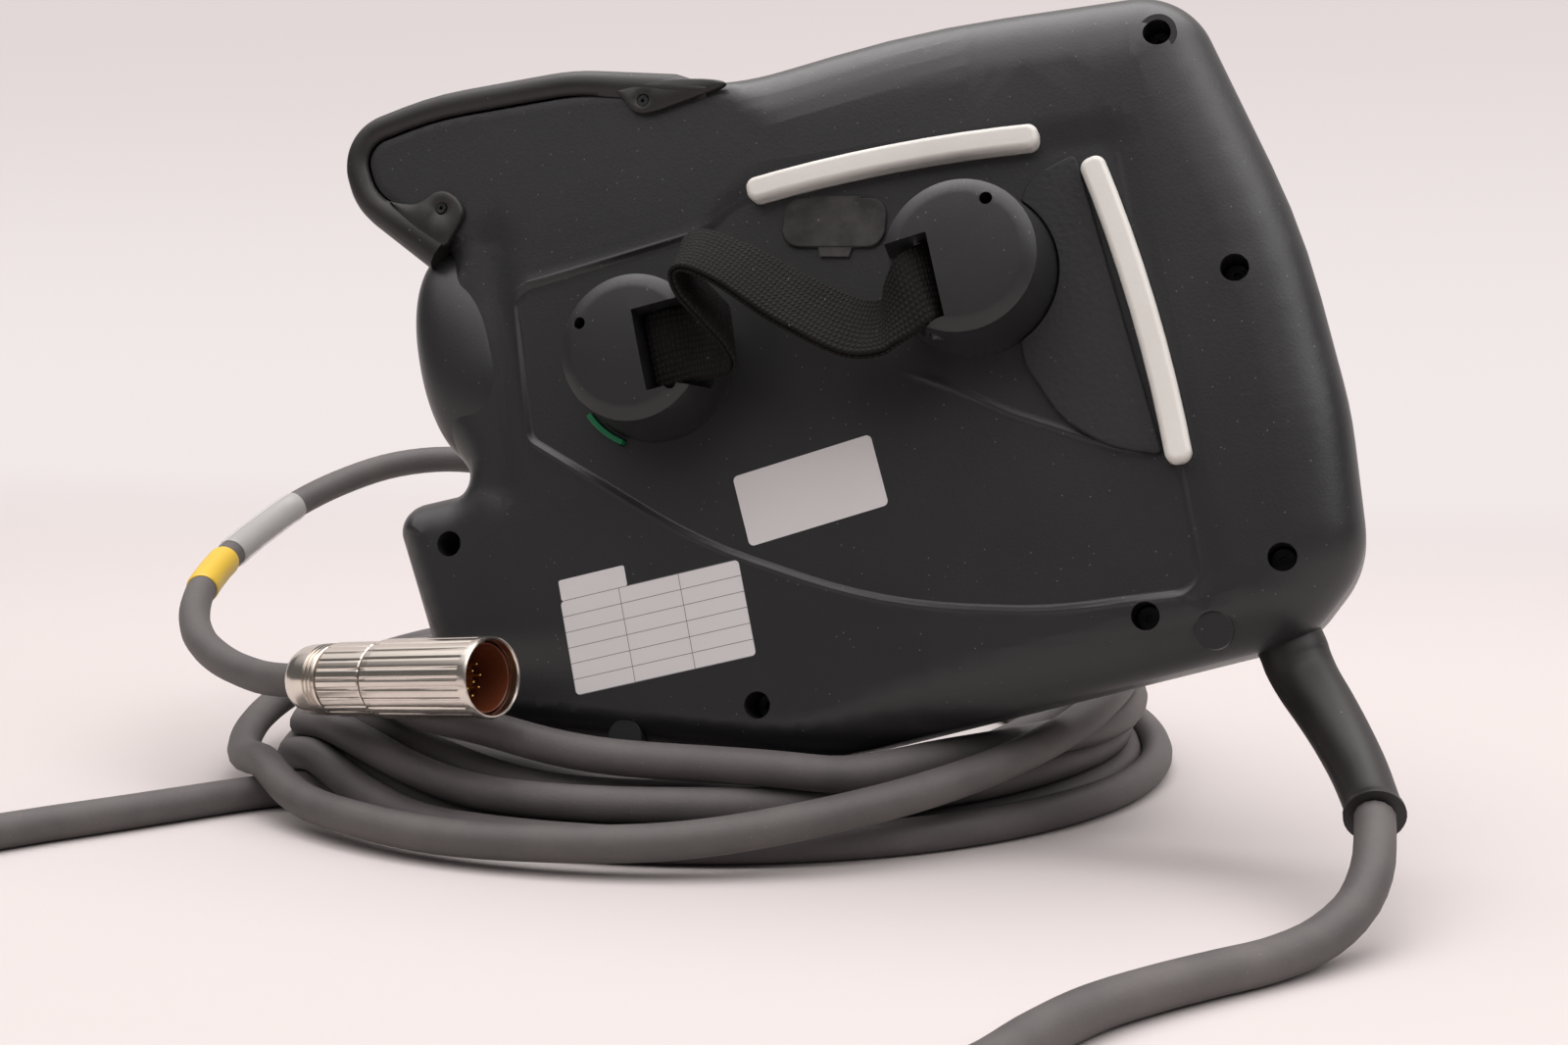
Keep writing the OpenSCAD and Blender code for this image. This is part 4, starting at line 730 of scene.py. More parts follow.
def backLevel(p):
    # height of the back: a broad soft edge at the top and right, a narrow one round the ear, a soft step
    # down into the field, a dip beside the bulge and a fine raised crease under the pad
    x, y = p[:, 0], p[:, 1]
    low = 1 - smooth((y + 90) / 70)
    ear = smooth((-8 - x) / 26) * smooth((y - 84) / 10)
    run = 14 + 14 * smooth((x + 60) / 70) * (1 - 0.35 * low)
    run = run * (1 - ear) + 4.8 * ear
    h = housing["rear"] - rounded(distanceTo(p, cornerRing(housingCorners)), run, housing["edgeRise"])
    d = distanceTo(p, cornerRing(fieldCorners, step=3))
    over = smooth((x + 54) / 44) * smooth((y - 30) / 22)  # no edge under the upper bar, only a slope
    loose = np.maximum(over, 0.9 * smooth((x - 82) / 14))
    s = smooth((d + 0.6 + 12 * loose) / (2.2 + 12 * loose))
    h -= housing["fieldDepth"] * s
    h -= 1.5 * np.exp(-(distanceTo(p, splineThrough(valley, 3), closed=False) / 6.5) ** 2) * (d < 1)
    bead = 0.42 * (1 - over) * np.exp(-((d + 0.9) / 0.7) ** 2) * (d < 2)
    e = distanceTo(p, splineThrough(crease, 2), closed=False)
    fade = np.clip((x - 12) / 10, 0, 1) * np.clip((90 - x) / 10, 0, 1)
    return h + bead + 0.45 * np.exp(-(e / 1.1) ** 2) * fade


bars = dict(top=(102, 8.4, 520, 26, top - 31.5, -5.7), side=(106, 8.4, 520, right - 53.5, -4, -87))
keyWindow = dict(size=(168.3, 124.3, 4), sight=(160, 116, 2), ledge=(-22.0, -20.5))


def backLoops():
    # openings for screws, hole plugs, both bars and the start key beside the left dome
    loops = [circle(x, y, housing["screwHole"] / 2) for x, y in screwPlaces]
    loops += [circle(x, y, 6.0) for x, y in plugPlaces]
    loops += [cornerRing(arcBar(*bar), -0.3, 0, 12) for bar in bars.values()]
    t = np.radians(np.linspace(203, 235, 14))
    outer, inner = [np.array(domePlaces[0]) + r * np.stack([np.cos(t), np.sin(t)], 1) for r in (31.4, 28.9)]
    return loops + [np.vstack([outer, inner[::-1]])]


def backLines():
    # extra lines where the back curves: the field's edge, the crease, the outline, the dip and the slopes
    line = splineThrough(crease, 2)
    way = np.gradient(line, axis=0)
    way = np.stack([-way[:, 1], way[:, 0]], 1) / np.linalg.norm(way, axis=1)[:, None]
    lines = [(cornerRing(fieldCorners, d, 0, 3), True)
             for d in (-12, -8.5, -5, -2, -1.2, -0.6, -0.1, 0.5, 1.1, 1.7)]
    lines += [(line + way * d, False) for d in (-2.4, -1.2, -0.6, 0, 0.6, 1.2, 2.4)]
    lines += [(fineRing(housingCorners, d, 6), True) for d in (5.5, 7.5, 10, 13, 16, 20, 24.5)]
    lines += [(np.array([[x, y] for x in np.arange(-140, 60, 4.0)]), False) for y in np.arange(44, 110, 6.0)]
    return lines + [(np.array([[x, y] for y in np.arange(-90, 80, 5.0)]), False)
                    for x in (-134, -130, -126, -122, 100, 104, 108, 112)]


def buildShells(finish):
    rear = shellPiece("rearHousing", housingCorners, backLoops(), backLines(), backLevel, 1)
    sight = cornerRing(boxCorners(*keyWindow["size"], *windowPlace))
    keyLoops = [circle(*stopPlace, 11.0), circle(*mousePlace, 24.0, 60)]
    keyLoops += [circle(x, y, 7.05) for x, y in switchPlaces]
    front = shellPiece("frontHousing", housingCorners, keyLoops + keyOpenings() + [sight],
                       [(fineRing(housingCorners, d, 6), True) for d in (5, 6.2, 7.2)], faceLevel, -1)
    hole = cornerRing(boxCorners(*keyWindow["sight"], *windowPlace))
    low, high = keyWindow["ledge"]
    ledge = hoop("windowLedge", [(sight, low), (hole, low), (hole, high), (sight, high)])
    dressed(rear, finish["shell"], "housing", ("rear_shell",))
    dressed(front, finish["shell"], "housing", ("front_shell",))
    dressed(ledge, finish["shell"], "housing")
    outer, inner = cornerRing(housingCorners, 0.4), cornerRing(housingCorners, 3.2)
    seal = hoop("seal", [(outer, -0.55), (inner, -0.55), (inner, 0.55), (outer, 0.55)])
    dressed(seal, finish["seal"], "housing", ("housing_gasket",))
    print("shells built")


def keyRow(x, y, n, pitch, w, h, rows=1, drop=0.0):
    return [(x + i * pitch, y - j * drop, w, h) for j in range(rows) for i in range(n)]


def keyColumn(x, y, n, pitch, w, h):
    return [(x, y - i * pitch, w, h) for i in range(n)]


def keyOpenings():
    # chamfered openings a little wider than each key
    wx, wy = windowPlace
    cells = keyRow(-18, wy + 69, 6, 22, 15, 6) + keyRow(-50, wy - 69.5, 7, 24, 17, 6)
    cells += keyColumn(right - 31, 67, 4, 13.5, 17, 7.5) + keyColumn(wx - 100, 62, 7, 15, 12, 9)
    cells += keyRow(-42, -71, 6, 10.4, 8, 7.5, 4, 11) + keyRow(25, -71, 4, 11, 9, 7.5, 4, 11)
    cells += [(-116, -30, 9, 8), (-116, -54, 9, 8), (-128, -42, 8, 9), (-104, -42, 8, 9),
              (right - 28, -21, 18, 12), (right - 28, -42, 18, 12), (right - 28, -63, 18, 12),
              (right - 28, 14, 17, 7), (wx - 100, -43, 12, 9), (-116, -76, 26, 11)]
    return [cutLoop(x, y, w + 0.6, h + 0.6) for x, y, w, h in cells]


# ------------------------------------------------------------- rubber bumper round the ear
bumper = dict(
    late=6.0, taper=0.45, grow=24.0, near=(-54.5, 113.6), far=(-136.0, 97.0), sunk=1.6,
    # section: outward step, share of the edge's rounding, height; up the edge, over the roll and down outside
    rear=[(0.2, 0, 5.0), (0.2, 0.35, 9.5), (0.2, 1.22, 12.3), (0.2, 3.0, 16.0), (0.2, 4.7, 18.6),
          (0.2, 7.0, 21.0), (0.2, 9.88, 22.8), (0.3, 11.8, 24.6), (1.2, 10.2, 25.9), (2.4, 7.0, 26.6),
          (3.8, 3.6, 26.4), (5.2, 1.2, 25.2), (6.4, 0.2, 22.6), (7.0, 0, 18.5), (7.1, 0, 12), (7.0, 0, 4.5),
          (6.6, 0, 1.9), (5.6, 0, 1.0), (0.2, 0, 1.0)],
    front=[(0.2, 0, -2.2), (7.0, 0, -2.2), (8.4, 0, -3.8), (8.9, 0, -10), (8.8, 0, -17.0), (7.8, 0, -21.6),
           (5.8, 0.4, -24.2), (3.4, 1.6, -25.4), (1.0, 3.6, -25.7), (0.2, 5.6, -25.3), (0.2, 4.32, -23.55),
           (0.2, 2.05, -21.56), (0.2, 0.53, -18.64), (0.2, 0, -15.0)])


def buildBumper(finish):
    # the section swept round the ear between two corners, thinning out towards its free end
    even = earCorners.copy()
    even[:, 3] = 1
    for name, node, corners, section, start in (
            ("bumperRear", "ear_bumper_rear", earCorners, bumper["rear"], 1),
            ("bumperFront", "ear_bumper_front", even, bumper["front"], 2)):
        first, last = ringSpan(corners, start, 6)
        rings = np.stack([cornerRing(corners, -o, e)[first:last + 1] for o, e, _ in section], 1)
        wall = cornerRing(corners, -0.2, 0)[first:last + 1]
        s = walked(wall)
        late = bumper["late"] if start == 1 else 0.0
        u = np.unique(np.r_[s[s > late], np.linspace(late, s[-1], 90)])
        wall, rings = along(u, s, wall), np.stack([along(u, s, rings[:, j]) for j in range(len(section))], 1)
        q = np.minimum(1, bumper["taper"] + (u - late) / bumper["grow"])[:, None, None]
        out = np.array([o for o, _, _ in section])[None, :, None] > 0.25
        rings = np.where(out, wall[:, None] * (1 - q) + rings * q, rings)
        z = np.broadcast_to(np.array([h for _, _, h in section])[None, :, None], rings.shape[:2] + (1,))
        points = np.concatenate([rings, z], 2)
        piece = meshPiece(name, standing(points.reshape(-1, 3)), cappedFaces(*points.shape[:2]))
        dressed(shaded(piece, 62), finish["bumper"], "housing", (node,))
    lug = dict(height=25.4, edge=1.2, foot=24.15)
    lugs = dict(near=([(-64, 120), (-61.5, 115.5), (-59.8, 111.8), (-56.5, 109.2), (-51.5, 108.2),
                       (-44.5, 108.4), (-36, 108.8), (-26, 109.6), (-25, 111.5), (-33, 115), (-48, 119)],
                      bumper["near"]),
                far=([(-156, 106), (-150.5, 103.2), (-145.6, 101.8), (-141, 102.6), (-137.5, 103.8),
                      (-133.5, 103), (-129.8, 99.4), (-128.2, 94.5), (-129.5, 91), (-133, 87.2),
                      (-137.5, 83.5), (-142, 87), (-149, 95)], bumper["far"]))
    for name, (outline, hole) in lugs.items():
        loop = splineThrough(outline + [outline[0]], 0.8)[:-1]
        heart = np.array(outline).mean(0)
        p, tri = flatPlate(loop, [circle(*hole, 2.0, 24)], [(circle(*hole, 2.5, 24), True)] + [
            (loop + (heart - loop) * k, True) for k in (0.03, 0.07, 0.12)])
        inward = np.clip(distanceTo(p, loop), 0, lug["edge"]) / lug["edge"]
        sink = np.clip(1 - (np.hypot(*(p - hole).T) - 2.0) / 0.5, 0, 1)
        height = lug["height"] + lug["edge"] * np.sqrt(1 - (1 - inward) ** 2) - 0.5 * sink
        n = len(p)
        faces = [tuple(f) for f in tri] + [tuple(f[::-1] + n) for f in tri]
        faces += [(x, x + n, y + n, y) for x, y in openEdges(tri)]
        points = np.vstack([np.c_[p, height], lifted(p, lug["foot"])])
        piece = meshPiece("lug_" + name, standing(points), faces)
        dressed(shaded(piece, 50), finish["bumper"], "housing")
    print("bumper swept")


# ------------------------------------------------------------- enabling bars, wells and bulge
def cushionPiece(name, corners, low, high, soft, rise, rings=8):
    # outline drawn up from low, its upper edge a quarter ellipse soft wide and rise high
    w = np.linspace(0, np.pi / 2, rings)
    levels = [(0, low)] + [(soft * (1 - math.cos(a)), high - rise + rise * math.sin(a)) for a in w]
    loops = [cornerRing(corners, a, 0, 8) for a, _ in levels]
    n, m = len(loops[0]), len(levels)
    points = np.vstack([lifted(l, z) for l, (_, z) in zip(loops, levels)])
    faces = [tuple(f) for f in gridFaces(m, n)] + [tuple(range(n))[::-1]]
    p, tri = flatPlate(loops[-1], [], [])
    faces += [tuple(f + len(points)) for f in tri]
    points = np.vstack([points, lifted(p, high)])
    return weighted(shaded(meshPiece(name, standing(points), faces), 48, 2e-6))


def buildGripParts(finish):
    for place, outline in bars.items():
        piece = cushionPiece("bar" + place.title(), arcBar(*outline, 8), 19.2, 29.2, 2.0, 2.4)
        dressed(piece, finish["ivory"], "enable_bar_" + place, ("enable_bar_" + place,))
    wells = []
    for x, y in screwPlaces:  # sleeves round the sunk screws
        wells += [lifted(circle(x, y, r), z) for r, z in ((4.5, 21.0), (4.5, 6.6), (6.4, 6.6), (6.4, 21.0))]
    faces = np.vstack([gridFaces(4, 40, wrapRows=True) + k * 160 for k in range(len(screwPlaces))])
    piece = shaded(meshPiece("screwWells", standing(np.vstack(wells)), faces), 40)
    dressed(piece, finish["shell"], "housing")
    # bulge over the mouse: a rounded block with power edges, sunk in the housing's flank
    bulge = dict(middle=(-141.0, 46.0, 6.0), half=(20.0, 42.0, 21.3), power=2.2)
    rows, cols = 49, 96
    a, b = np.meshgrid(np.linspace(-np.pi / 2, np.pi / 2, rows),
                       np.linspace(0, 2 * np.pi, cols, endpoint=False), indexing="ij")
    powered = lambda v: np.sign(v) * np.abs(v) ** (2 / bulge["power"])
    p = np.stack([powered(np.cos(a)) * powered(np.cos(b)), powered(np.cos(a)) * powered(np.sin(b)),
                  powered(np.sin(a))], -1)
    p = p.reshape(-1, 3) * np.array(bulge["half"]) + np.array(bulge["middle"])
    piece = shaded(meshPiece("mouseBulge", standing(p), gridFaces(rows, cols)), 60, 1e-6)
    dressed(piece, finish["shell"], "housing")
    print("bars, wells and bulge made")


# ------------------------------------------------------------- pieces taken from the solids, edges softened
softPieces = [  # finish, bevel in mm, nodes
    ("black_steel", 0.12, "housing_screws"), ("black_steel", 0.1, "small_screws"),
    ("dome", 0.3, "hole_plugs"), ("dome", 0.7, "grip_dome_left grip_dome_right"),
    ("pin_steel", 0.2, "strap_pins"), ("cover_rubber", 0.25, "connector_cover"),
    ("grip_pad", 0.3, "grip_pad"), ("green", 0.5, "rear_start_key"), ("yellow", 0.5, "estop_collar"),
    ("red", 0.3, "estop_mushroom"), ("pin_steel", 0.2, "estop_stem"), ("pin_steel", 0.3, "switch_bezels"),
    ("key_steel", 0.2, "mode_barrel"), ("key_steel", 0.25, "mode_key"),
    ("green_lens", 0.3, "drives_on_button"), ("white_lens", 0.3, "drives_off_button"),
    ("black_plastic", 0.2, "mouse_base"), ("mouse", 0.4, "mouse_cap"), ("window", 0.3, "display_window"),
    ("key_grey", 0.35, "menu_keys soft_keys status_keys_left status_keys_right"), ("red", 0.4, "stop_key"),
    ("green", 0.4, "start_key backward_key"), ("key_grey", 0.35, "escape_key window_key"),
    ("key_light", 0.35, "arrow_keys enter_key letter_keys number_keys")]
plainNodes = dict(  # inner pieces that keep their solid
    black_plastic="service_socket enable_switches estop_block switch_blocks cable_gland", bronze="mouse_ring",
    tin="mouse_plate display_module", board="main_board key_boards")


def softened(node, edge):
    # welded copy of a solid with rounded edges and smooth shading
    mesh = frame["nodes"][node].data.copy()
    bm = bmesh.new()
    bm.from_mesh(mesh)
    bmesh.ops.remove_doubles(bm, verts=bm.verts, dist=2e-6)
    bmesh.ops.dissolve_limit(bm, angle_limit=math.radians(1.0), verts=bm.verts, edges=bm.edges)
    bmesh.ops.triangulate(bm, faces=[f for f in bm.faces if len(f.verts) > 4])
    bm.to_mesh(mesh)
    bm.free()
    piece = bpy.data.objects.new(node + "_dressed", mesh)
    bpy.context.scene.collection.objects.link(piece)
    soft = piece.modifiers.new("softEdge", "BEVEL")
    soft.width, soft.segments, soft.limit_method = edge / 1000, 2, "ANGLE"
    soft.angle_limit, soft.harden_normals, soft.miter_outer = math.radians(30), False, "MITER_ARC"
    sharpen(piece, 60)
    return weighted(piece)


def bodyOf(node):
    return next(body for body, nodes in record["behaviour"]["bodies"].items() if node in nodes)


def reshaped(piece, change):
    # moves a piece's points, given lying in millimetres
    p = np.array([v.co for v in piece.data.vertices]) * 1000
    q = change((p + middle) @ upright)
    piece.data.vertices.foreach_set("co", ((q @ upright.T - middle) / 1000).ravel())


def sinkLugScrews(q):  # the two in the bumper's lugs sit deep in their holes
    for hole in (bumper["near"], bumper["far"]):
        q[np.hypot(*(q[:, :2] - hole).T) < 4, 2] -= bumper["sunk"]
    return q


def widenTop(q):  # the domes' sides stand steeper than the solids'
    away = q[:, :2] - domePlaces[int(q[:, 0].mean() > 0)]
    r = np.hypot(*away.T)
    grow = 0.072 * np.clip((q[:, 2] - 23) / 27, 0, 1) * smooth((r - 21.5) / 2)
    q[:, :2] += away * grow[:, None]
    return q


def thinKey(q):  # only a thin rim of the start key shows beside the dome
    away = q[:, :2] - domePlaces[0]
    r = np.hypot(*away.T)
    thin = 29.2 + (r - 29.2) * 0.55
    q[:, :2] += away * (thin / r - 1)[:, None]
    q[:, 2] -= 0.5
    return q


def buildSoftPieces(finish):
    made = {}
    for surface, edge, nodes in softPieces:
        for node in nodes.split():
            made[node] = dressed(softened(node, edge), finish[surface], bodyOf(node), (node,))
    for surface, nodes in plainNodes.items():
        for node in nodes.split():
            data = frame["nodes"][node].data
            data.materials.clear()
            data.materials.append(finish[surface])
    for node, change in dict(small_screws=sinkLugScrews, grip_dome_left=widenTop, grip_dome_right=widenTop,
                             rear_start_key=thinKey).items():
        reshaped(made[node], change)
    print("softened %d pieces" % len(made))


# ------------------------------------------------------------- plug and boot
plug = dict(
    flutes=24, flat=(21.5, 31.5, 11.9, 4.1),
    # profiles closed round: place along the plug and radius; then where they are fluted, and how deep
    nut=([(0, 6.1), (0, 8.6), (0.5, 9.7), (1.8, 11.0), (4, 11.9), (7, 12.3), (11.6, 12.4), (11.8, 11.9),
          (12.6, 11.9), (12.8, 12.4), (13.5, 12.4), (13.7, 11.9), (14.5, 11.9), (14.7, 12.4), (15.4, 12.4),
          (15.6, 11.9), (16.2, 11.9), (16.4, 12.3), (17.0, 12.1), (17.2, 11.6), (17.2, 6.1)], []),
    body=([(17.3, 8.0), (17.3, 10.6), (18.6, 10.6), (18.8, 12.4), (19.0, 12.8), (21.4, 12.8), (21.6, 12.8),
           (26.5, 12.8), (31.4, 12.8), (31.6, 12.8), (38.4, 12.8), (38.8, 12.4), (38.9, 11.4), (39.9, 11.4),
           (39.9, 8.0)], [(19.0, 38.4, 0.3)]),
    ring=([(40.1, 9.0), (40.1, 12.9), (40.5, 13.3), (43.0, 13.4), (43.3, 13.45), (62, 13.5), (84.6, 13.5),
           (85.2, 13.5), (87.4, 13.5), (88.1, 13.3), (88.3, 12.9), (88.1, 12.4), (87.2, 12.0), (83.6, 11.9),
           (62, 11.9), (62, 9.6)],
          [(40.5, 43.0, 0.3), (43.3, 84.6, 0.35)]),
    insert=([(63, 0.01), (63, 11.6), (84.6, 11.6), (85.0, 11.3), (84.8, 11.0), (67, 10.9), (67, 9.3),
             (70.6, 9.2), (71, 8.9), (71, 0.01)], []),
    pins=[(6.6, 10), (3.6, 6)], pin=(0.6, 70.5, 77.0))
boot = dict(  # stations and lip: across and along from the root, height, radius
    root=(115.0, bottom + 3.7), lip=[[12.3, -53.6, 48.3, 8.9], [12.3, -54.6, 49.7, 9.0]],
    stations=[[-2, 10, -4, 10.8], [0, 0, 0, 10.8], [0.4, -4, 0.6, 10.7], [2.0, -11, 3, 10.3],
              [5.4, -21, 10.5, 9.7], [8.4, -31, 20, 9.1], [10.8, -41, 31, 8.6], [12.1, -50, 43, 8.2],
              [12.3, -53.4, 48, 8.2]])


def plugFrame():  # where the plug starts, its way, and two directions across it
    start, end = np.array(cable["plug"], float)
    way = (end - start) / np.linalg.norm(end - start)
    across = np.cross(way, [0, 0, 1])
    across /= np.linalg.norm(across)
    return start, way, across, np.cross(across, way)


def turnedPiece(name, profile, fluted, sides, flat=False, closed=True):
    # profile turned round the plug's axis; flutes are narrow grooves spaced evenly
    start, way, across, up = plugFrame()
    z, r = np.array(profile, float).T
    t = np.linspace(0, 2 * np.pi, sides, endpoint=False)
    groove = np.clip(1 - np.abs(((t * plug["flutes"] / (2 * np.pi)) % 1) - 0.5) * 5.5, 0, 1)
    cut = np.zeros(len(z))
    for near, far, depth in fluted:
        cut[(z >= near) & (z <= far) & (r > 12)] = depth
    radius = r[:, None] - cut[:, None] * groove[None]
    if flat:  # one flat for a spanner
        near, far, depth, turn = plug["flat"]
        c = np.cos(t - turn)
        within = ((z > near) & (z < far))[:, None] & (c > 0.5)[None]
        radius = np.where(within, np.minimum(radius, depth / np.maximum(c, 0.5)[None]), radius)
    around = across * np.cos(t)[None, :, None] + up * np.sin(t)[None, :, None]
    points = placed((start + way * z[:, None, None] + radius[..., None] * around).reshape(-1, 3))
    return weighted(shaded(meshPiece(name, points, gridFaces(len(z), sides, wrapRows=closed)), 32))


def buildPlug(finish):
    made = []
    for part, surface, sides in (("nut", "nickel", 96), ("body", "nickel", 240), ("ring", "nickel", 240),
                                 ("insert", "insert", 96)):
        piece = turnedPiece("plug" + part.title(), *plug[part], sides, part == "body", part != "insert")
        node = "plug_" + part
        made.append(dressed(piece, finish[surface], bodyOf(node), (node,)))
    start, way, across, up = plugFrame()
    size, foot, tip = plug["pin"]
    radii = np.array([1, 1, 0.8, 0.35]) * size / 1000
    for ring, (r, count) in enumerate(plug["pins"]):
        for k in range(count):
            t = 2 * np.pi * (k + 0.5 * ring) / count
            spot = start + across * r * math.cos(t) + up * r * math.sin(t)
            line = placed(np.array([spot + way * z for z in (foot, tip - 0.8, tip - 0.3, tip)]))
            pin = tubeAlong("plugPin%d_%d" % (ring, k), line, radii, 12)
            made.append(dressed(pin, finish["gold"], bodyOf("plug_insert")))
    print("plug turned with %d pieces" % len(made))
    return made


def buildBoot(finish):
    rows = np.vstack([splineThrough(boot["stations"], 1.5), boot["lip"]])
    rows[:, :2] += boot["root"]
    piece = tubeAlong("cableBoot", standing(rows[:, :3]), rows[:, 3] / 1000, 32)
    dressed(piece, finish["bumper"], bodyOf("cable_boot"), ("cable_boot",))
    print("boot swept")


# ------------------------------------------------------------- hand strap
strap = dict(
    width=26.5, thick=1.25, gap=0.25,
    # middle and direction across, from the left dome's pin over the fold to the right dome's pin
    stations=[([-57, 19, 38], [0, 1, 0]), ([-60.2, 19, 37.6], [0, 1, 0]), ([-62.9, 19, 40.4], [0, 1, 0]),
              ([-62, 19, 43.2], [0, 1, 0]), ([-56.4, 19.2, 43.6], [0, 1, 0]),
              ([-48.3, 18.9, 42.5], [0.05, 0.98, -0.18]), ([-38.6, 16.8, 47], [-0.02, 0.98, -0.22]),
              ([-33.6, 16.3, 50.5], [-0.05, 0.91, -0.41]), ([-35, 21.3, 53], [-0.11, 0.85, -0.52]),
              ([-39.7, 29.4, 55], [-0.1, 0.78, -0.62]), ([-43.2, 37.6, 57.5], [-0.02, 0.72, -0.69]),
              ([-42.2, 43.4, 60], [0.08, 0.66, -0.75]), ([-36.6, 43.6, 61], [0.18, 0.62, -0.76]),
              ([-29, 38.6, 60], [0.25, 0.58, -0.77]), ([-20, 30.4, 57.6], [0.34, 0.57, -0.75]),
              ([-10, 20.8, 54.4], [0.38, 0.6, -0.71]), ([0, 12.4, 50.6], [0.38, 0.62, -0.67]),
              ([8.4, 7.4, 47.8], [0.28, 0.73, -0.61]), ([15.4, 6.2, 46.9], [0.08, 0.8, -0.6]),
              ([20.4, 9.6, 48.6], [-0.03, 0.9, -0.42]), ([26, 13, 50.6], [-0.08, 0.98, -0.16]),
              ([30.6, 15.6, 49.4], [-0.1, 0.98, -0.16]), ([33.4, 17, 45.4], [-0.05, 0.99, -0.1]),
              ([35.4, 17, 40], [0, 1, 0])])


def ribbon(name, rows, width, thick, lift, slide):
    # flat band with rounded edges: a slot-shaped section carried along the stations
    line, across = rows[:, :3], rows[:, 3:]
    across = across / np.linalg.norm(across, axis=1)[:, None]
    ahead = np.gradient(line, axis=0)
    ahead /= np.linalg.norm(ahead, axis=1)[:, None]
    up = np.cross(ahead, across)
    up /= np.linalg.norm(up, axis=1)[:, None]
    t = np.linspace(0, np.pi, 5)
    half, r = width / 2 - thick / 2, thick / 2
    lane = np.linspace(-1, 1, 9)  # from edge to edge
    side = np.vstack([np.c_[half * lane, np.full(9, r)], np.c_[half + r * np.sin(t), r * np.cos(t)][1:-1]])
    section = np.vstack([side, -side])
    s, edge = walked(line), np.abs(section[None, :, 0]) > half * 0.5
    wave = 0.22 * np.sin(s / 4.1)[:, None] * np.cos(section[None, :, 0] / 5.0) * edge
    points = line[:, None] + across[:, None] * (section[None, :, 0:1] + slide) + \
        up[:, None] * (section[None, :, 1:2] + lift + wave[..., None])
    uv = np.stack(np.broadcast_arrays(section[None, :, 0] / 1000, s[:, None] / 1000), -1).reshape(-1, 2)
    return shaded(meshPiece(name, standing(points.reshape(-1, 3)), cappedFaces(*points.shape[:2]), uv), 50)


def buildStrap(finish):
    rows = splineThrough([np.r_[p, np.array(a) / np.linalg.norm(a)] for p, a in strap["stations"]], 1.2)
    upper = ribbon("strapUpper", rows, strap["width"], strap["thick"], strap["thick"] / 2 + strap["gap"] / 2,
                   0.0)
    lower = ribbon("strapLower", rows[: int(len(rows) * 0.93)], strap["width"] - 1.5, strap["thick"],
                   -strap["thick"] / 2 - strap["gap"] / 2, -0.9)
    dressed(upper, finish["webbing"], "housing", ("hand_strap",))
    dressed(lower, finish["webbing"], "housing")
    print("strap built")


# ------------------------------------------------------------- labels, left without print that says anything
labels = dict(
    plate=dict(middle=(-86.0, -68.2), size=(65.5, 33.0), turn=-0.4, corner=2.0, finish="form", thick=0.16),
    tag=dict(middle=(-105.8, -48.0), size=(24.5, 7.2), turn=-0.4, corner=0.8, finish="paper", thick=0.14),
    stripe=dict(middle=(-24.6, -35.1), size=(49.5, 24.6), turn=2.9, corner=1.8, finish="paper", thick=0.16))


def buildLabels(finish):
    for name, v in labels.items():
        w, h = v["size"]
        ring = cornerRing(boxCorners(w, h, v["corner"]), step=10)
        flat = turned(ring, v["turn"], *v["middle"])
        low = backLevel(flat).min() if name != "tag" else backLevel(flat).max()
        n = len(ring)
        points = np.vstack([lifted(flat, low), lifted(flat, low + v["thick"])])
        faces = [tuple(range(n, 2 * n)), tuple(range(n))[::-1]] + [tuple(f) for f in gridFaces(2, n)]
        uv = np.vstack([ring, ring]) / w + 0.5
        piece = meshPiece("label_" + name, standing(points), faces, uv)
        facesOut(piece)
        dressed(piece, finish[v["finish"]], "housing")
    print("labels laid")


# ------------------------------------------------------------- floor, backdrop and lamps
stage = dict(
    colour=(0.565, 0.525, 0.515), glow=(0.755, 0.685, 0.678), low=(0.885, 0.815, 0.805), floor=-0.1486,
    reach=6.0, wall=3.2, bend=1.2, height=5.0, sky=(1.0, 0.955, 0.95),
    lamps=dict(over=((0.0, 0.35, 1.25), (1.5, 0.9), 7.0), side=((1.25, -0.35, 0.95), (0.7, 1.0), 4.5),
               fill=((-1.0, -1.3, 0.9), (1.2, 1.0), 0.3)))  # place, size, power


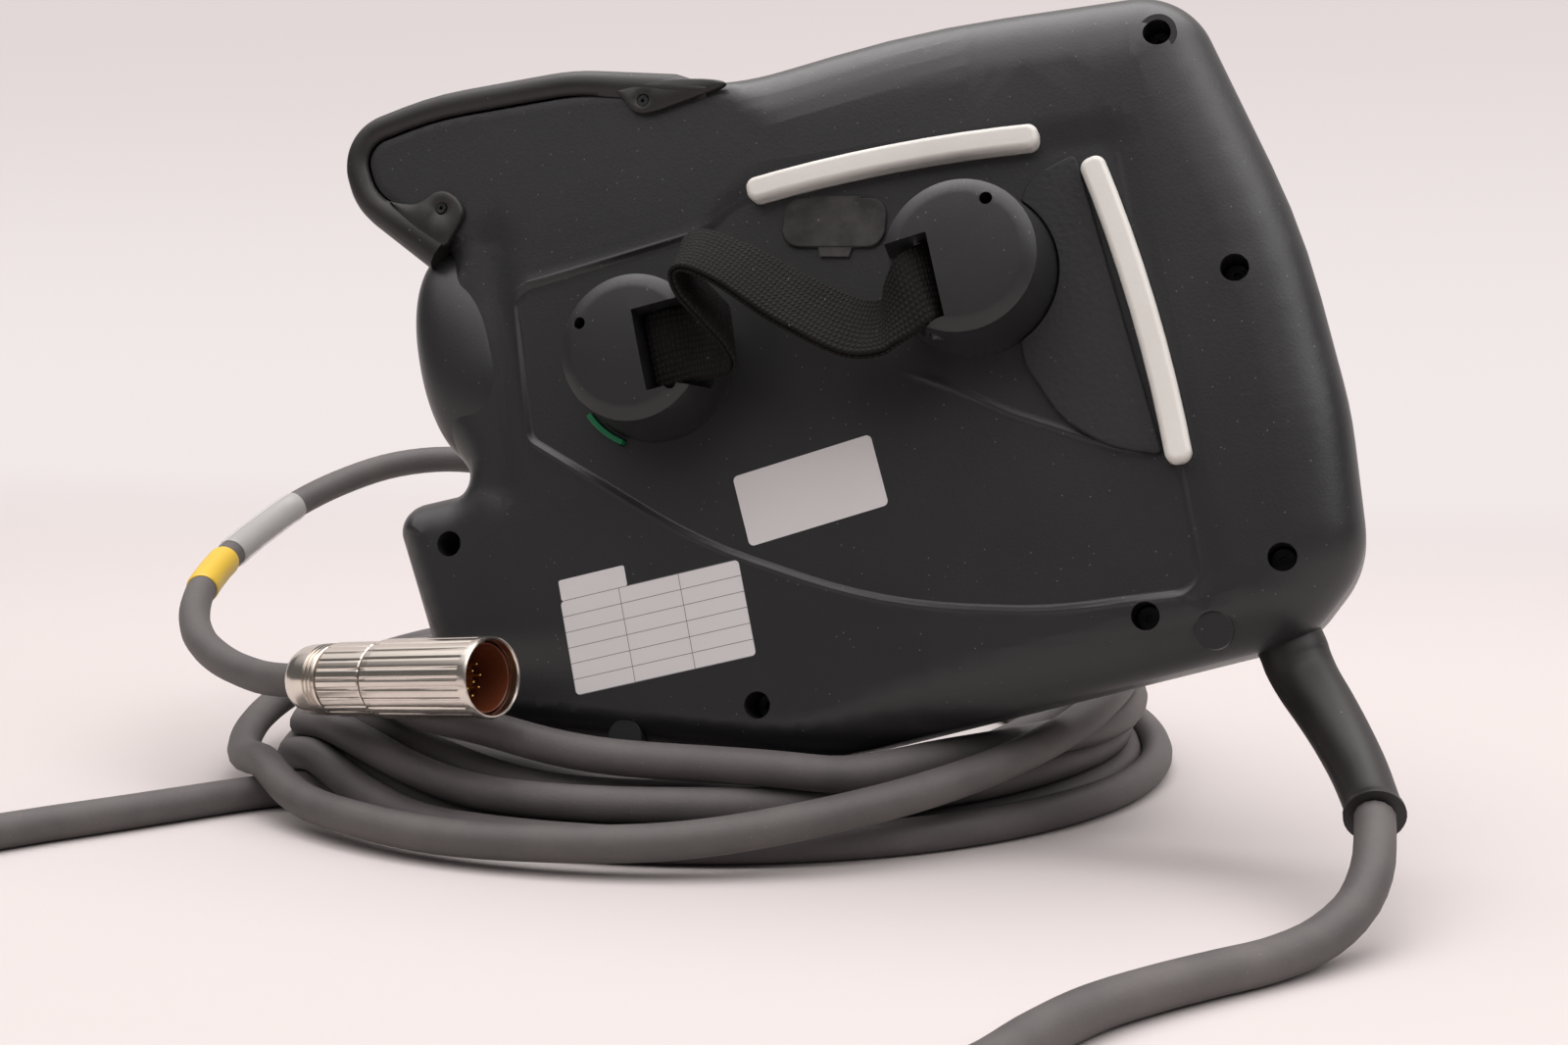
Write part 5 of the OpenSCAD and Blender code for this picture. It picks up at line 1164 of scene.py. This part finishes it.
def makeSweep():
    # the floor, bent up into a wall; further back it shines by itself, so that the background stays pale
    made, tree, shader = newMaterial("paleFloor")
    feed(tree, shader, {"Base Color": (*stage["colour"], 1), "Roughness": 0.85, "Specular IOR Level": 0.15})
    where = addNode(tree, "ShaderNodeTexCoord").outputs["Object"]
    place = addNode(tree, "ShaderNodeSeparateXYZ", {0: where}).outputs
    light = addNode(tree, "ShaderNodeLightPath").outputs
    seen = number(tree, "MAXIMUM", light["Is Camera Ray"], light["Is Glossy Ray"])
    share = number(tree, "MULTIPLY", ranged(tree, place["Y"], 0.15, 1.5, kind="SMOOTHSTEP"), seen)
    height = ranged(tree, place["Z"], -0.1, 0.75, kind="SMOOTHSTEP")
    shine = blended(tree, height, (*stage["low"], 1), (*stage["glow"], 1))
    glow = addNode(tree, "ShaderNodeEmission", {0: shine})
    mix = addNode(tree, "ShaderNodeMixShader", {0: share, 1: shader.outputs[0], 2: glow.outputs[0]})
    feed(tree, tree.nodes["Material Output"], {"Surface": mix.outputs[0]})
    return made


def buildStage():
    t = np.linspace(0, np.pi / 2, 24)
    wall, bend = stage["wall"], stage["bend"]
    line = np.vstack([[[-stage["reach"], 0]], np.c_[wall - bend + bend * np.sin(t), bend * (1 - np.cos(t))],
                      [[wall, stage["height"]]]])
    points = [[x, y, z + stage["floor"]] for y, z in line for x in (-stage["reach"], stage["reach"])]
    sweep = meshPiece("studioSweep", points, gridFaces(len(line), 2, wrapCols=False, flip=True))
    sweep.data.polygons.foreach_set("use_smooth", [True] * len(sweep.data.polygons))
    sweep.data.materials.append(makeSweep())
    world = bpy.data.worlds.new("studio")
    world.use_nodes = True
    tree = world.node_tree
    around = addNode(tree, "ShaderNodeTexCoord").outputs["Generated"]
    upwards = addNode(tree, "ShaderNodeSeparateXYZ", {0: around}).outputs["Z"]
    bright = ranged(tree, upwards, 0.38, 0.95, 0.12, 2.6, "SMOOTHSTEP")  # a pale ceiling, dim walls
    feed(tree, tree.nodes["Background"], {0: (*stage["sky"], 1), 1: bright})
    scene = bpy.context.scene
    scene.world = world
    for name, (place, size, power) in stage["lamps"].items():
        data = bpy.data.lights.new(name, "AREA")
        data.shape, data.size, data.size_y, data.energy = "RECTANGLE", *size, power
        lamp = bpy.data.objects.new(name, data)
        lamp.location = place
        # aimed at the object's middle
        lamp.rotation_euler = (-Vector(place)).to_track_quat("-Z", "Y").to_euler()
        scene.collection.objects.link(lamp)
    scene.view_settings.view_transform = "Standard"


# ------------------------------------------------------------- everything in order
setCamera()
finish = makeFinishes()
cableTube, path = buildCable(finish)
bands = buildBands(finish, path)
buildStage()
buildShells(finish)
buildBumper(finish)
buildGripParts(finish)
buildSoftPieces(finish)
buildStrap(finish)
buildLabels(finish)
buildBoot(finish)
plugParts = buildPlug(finish)
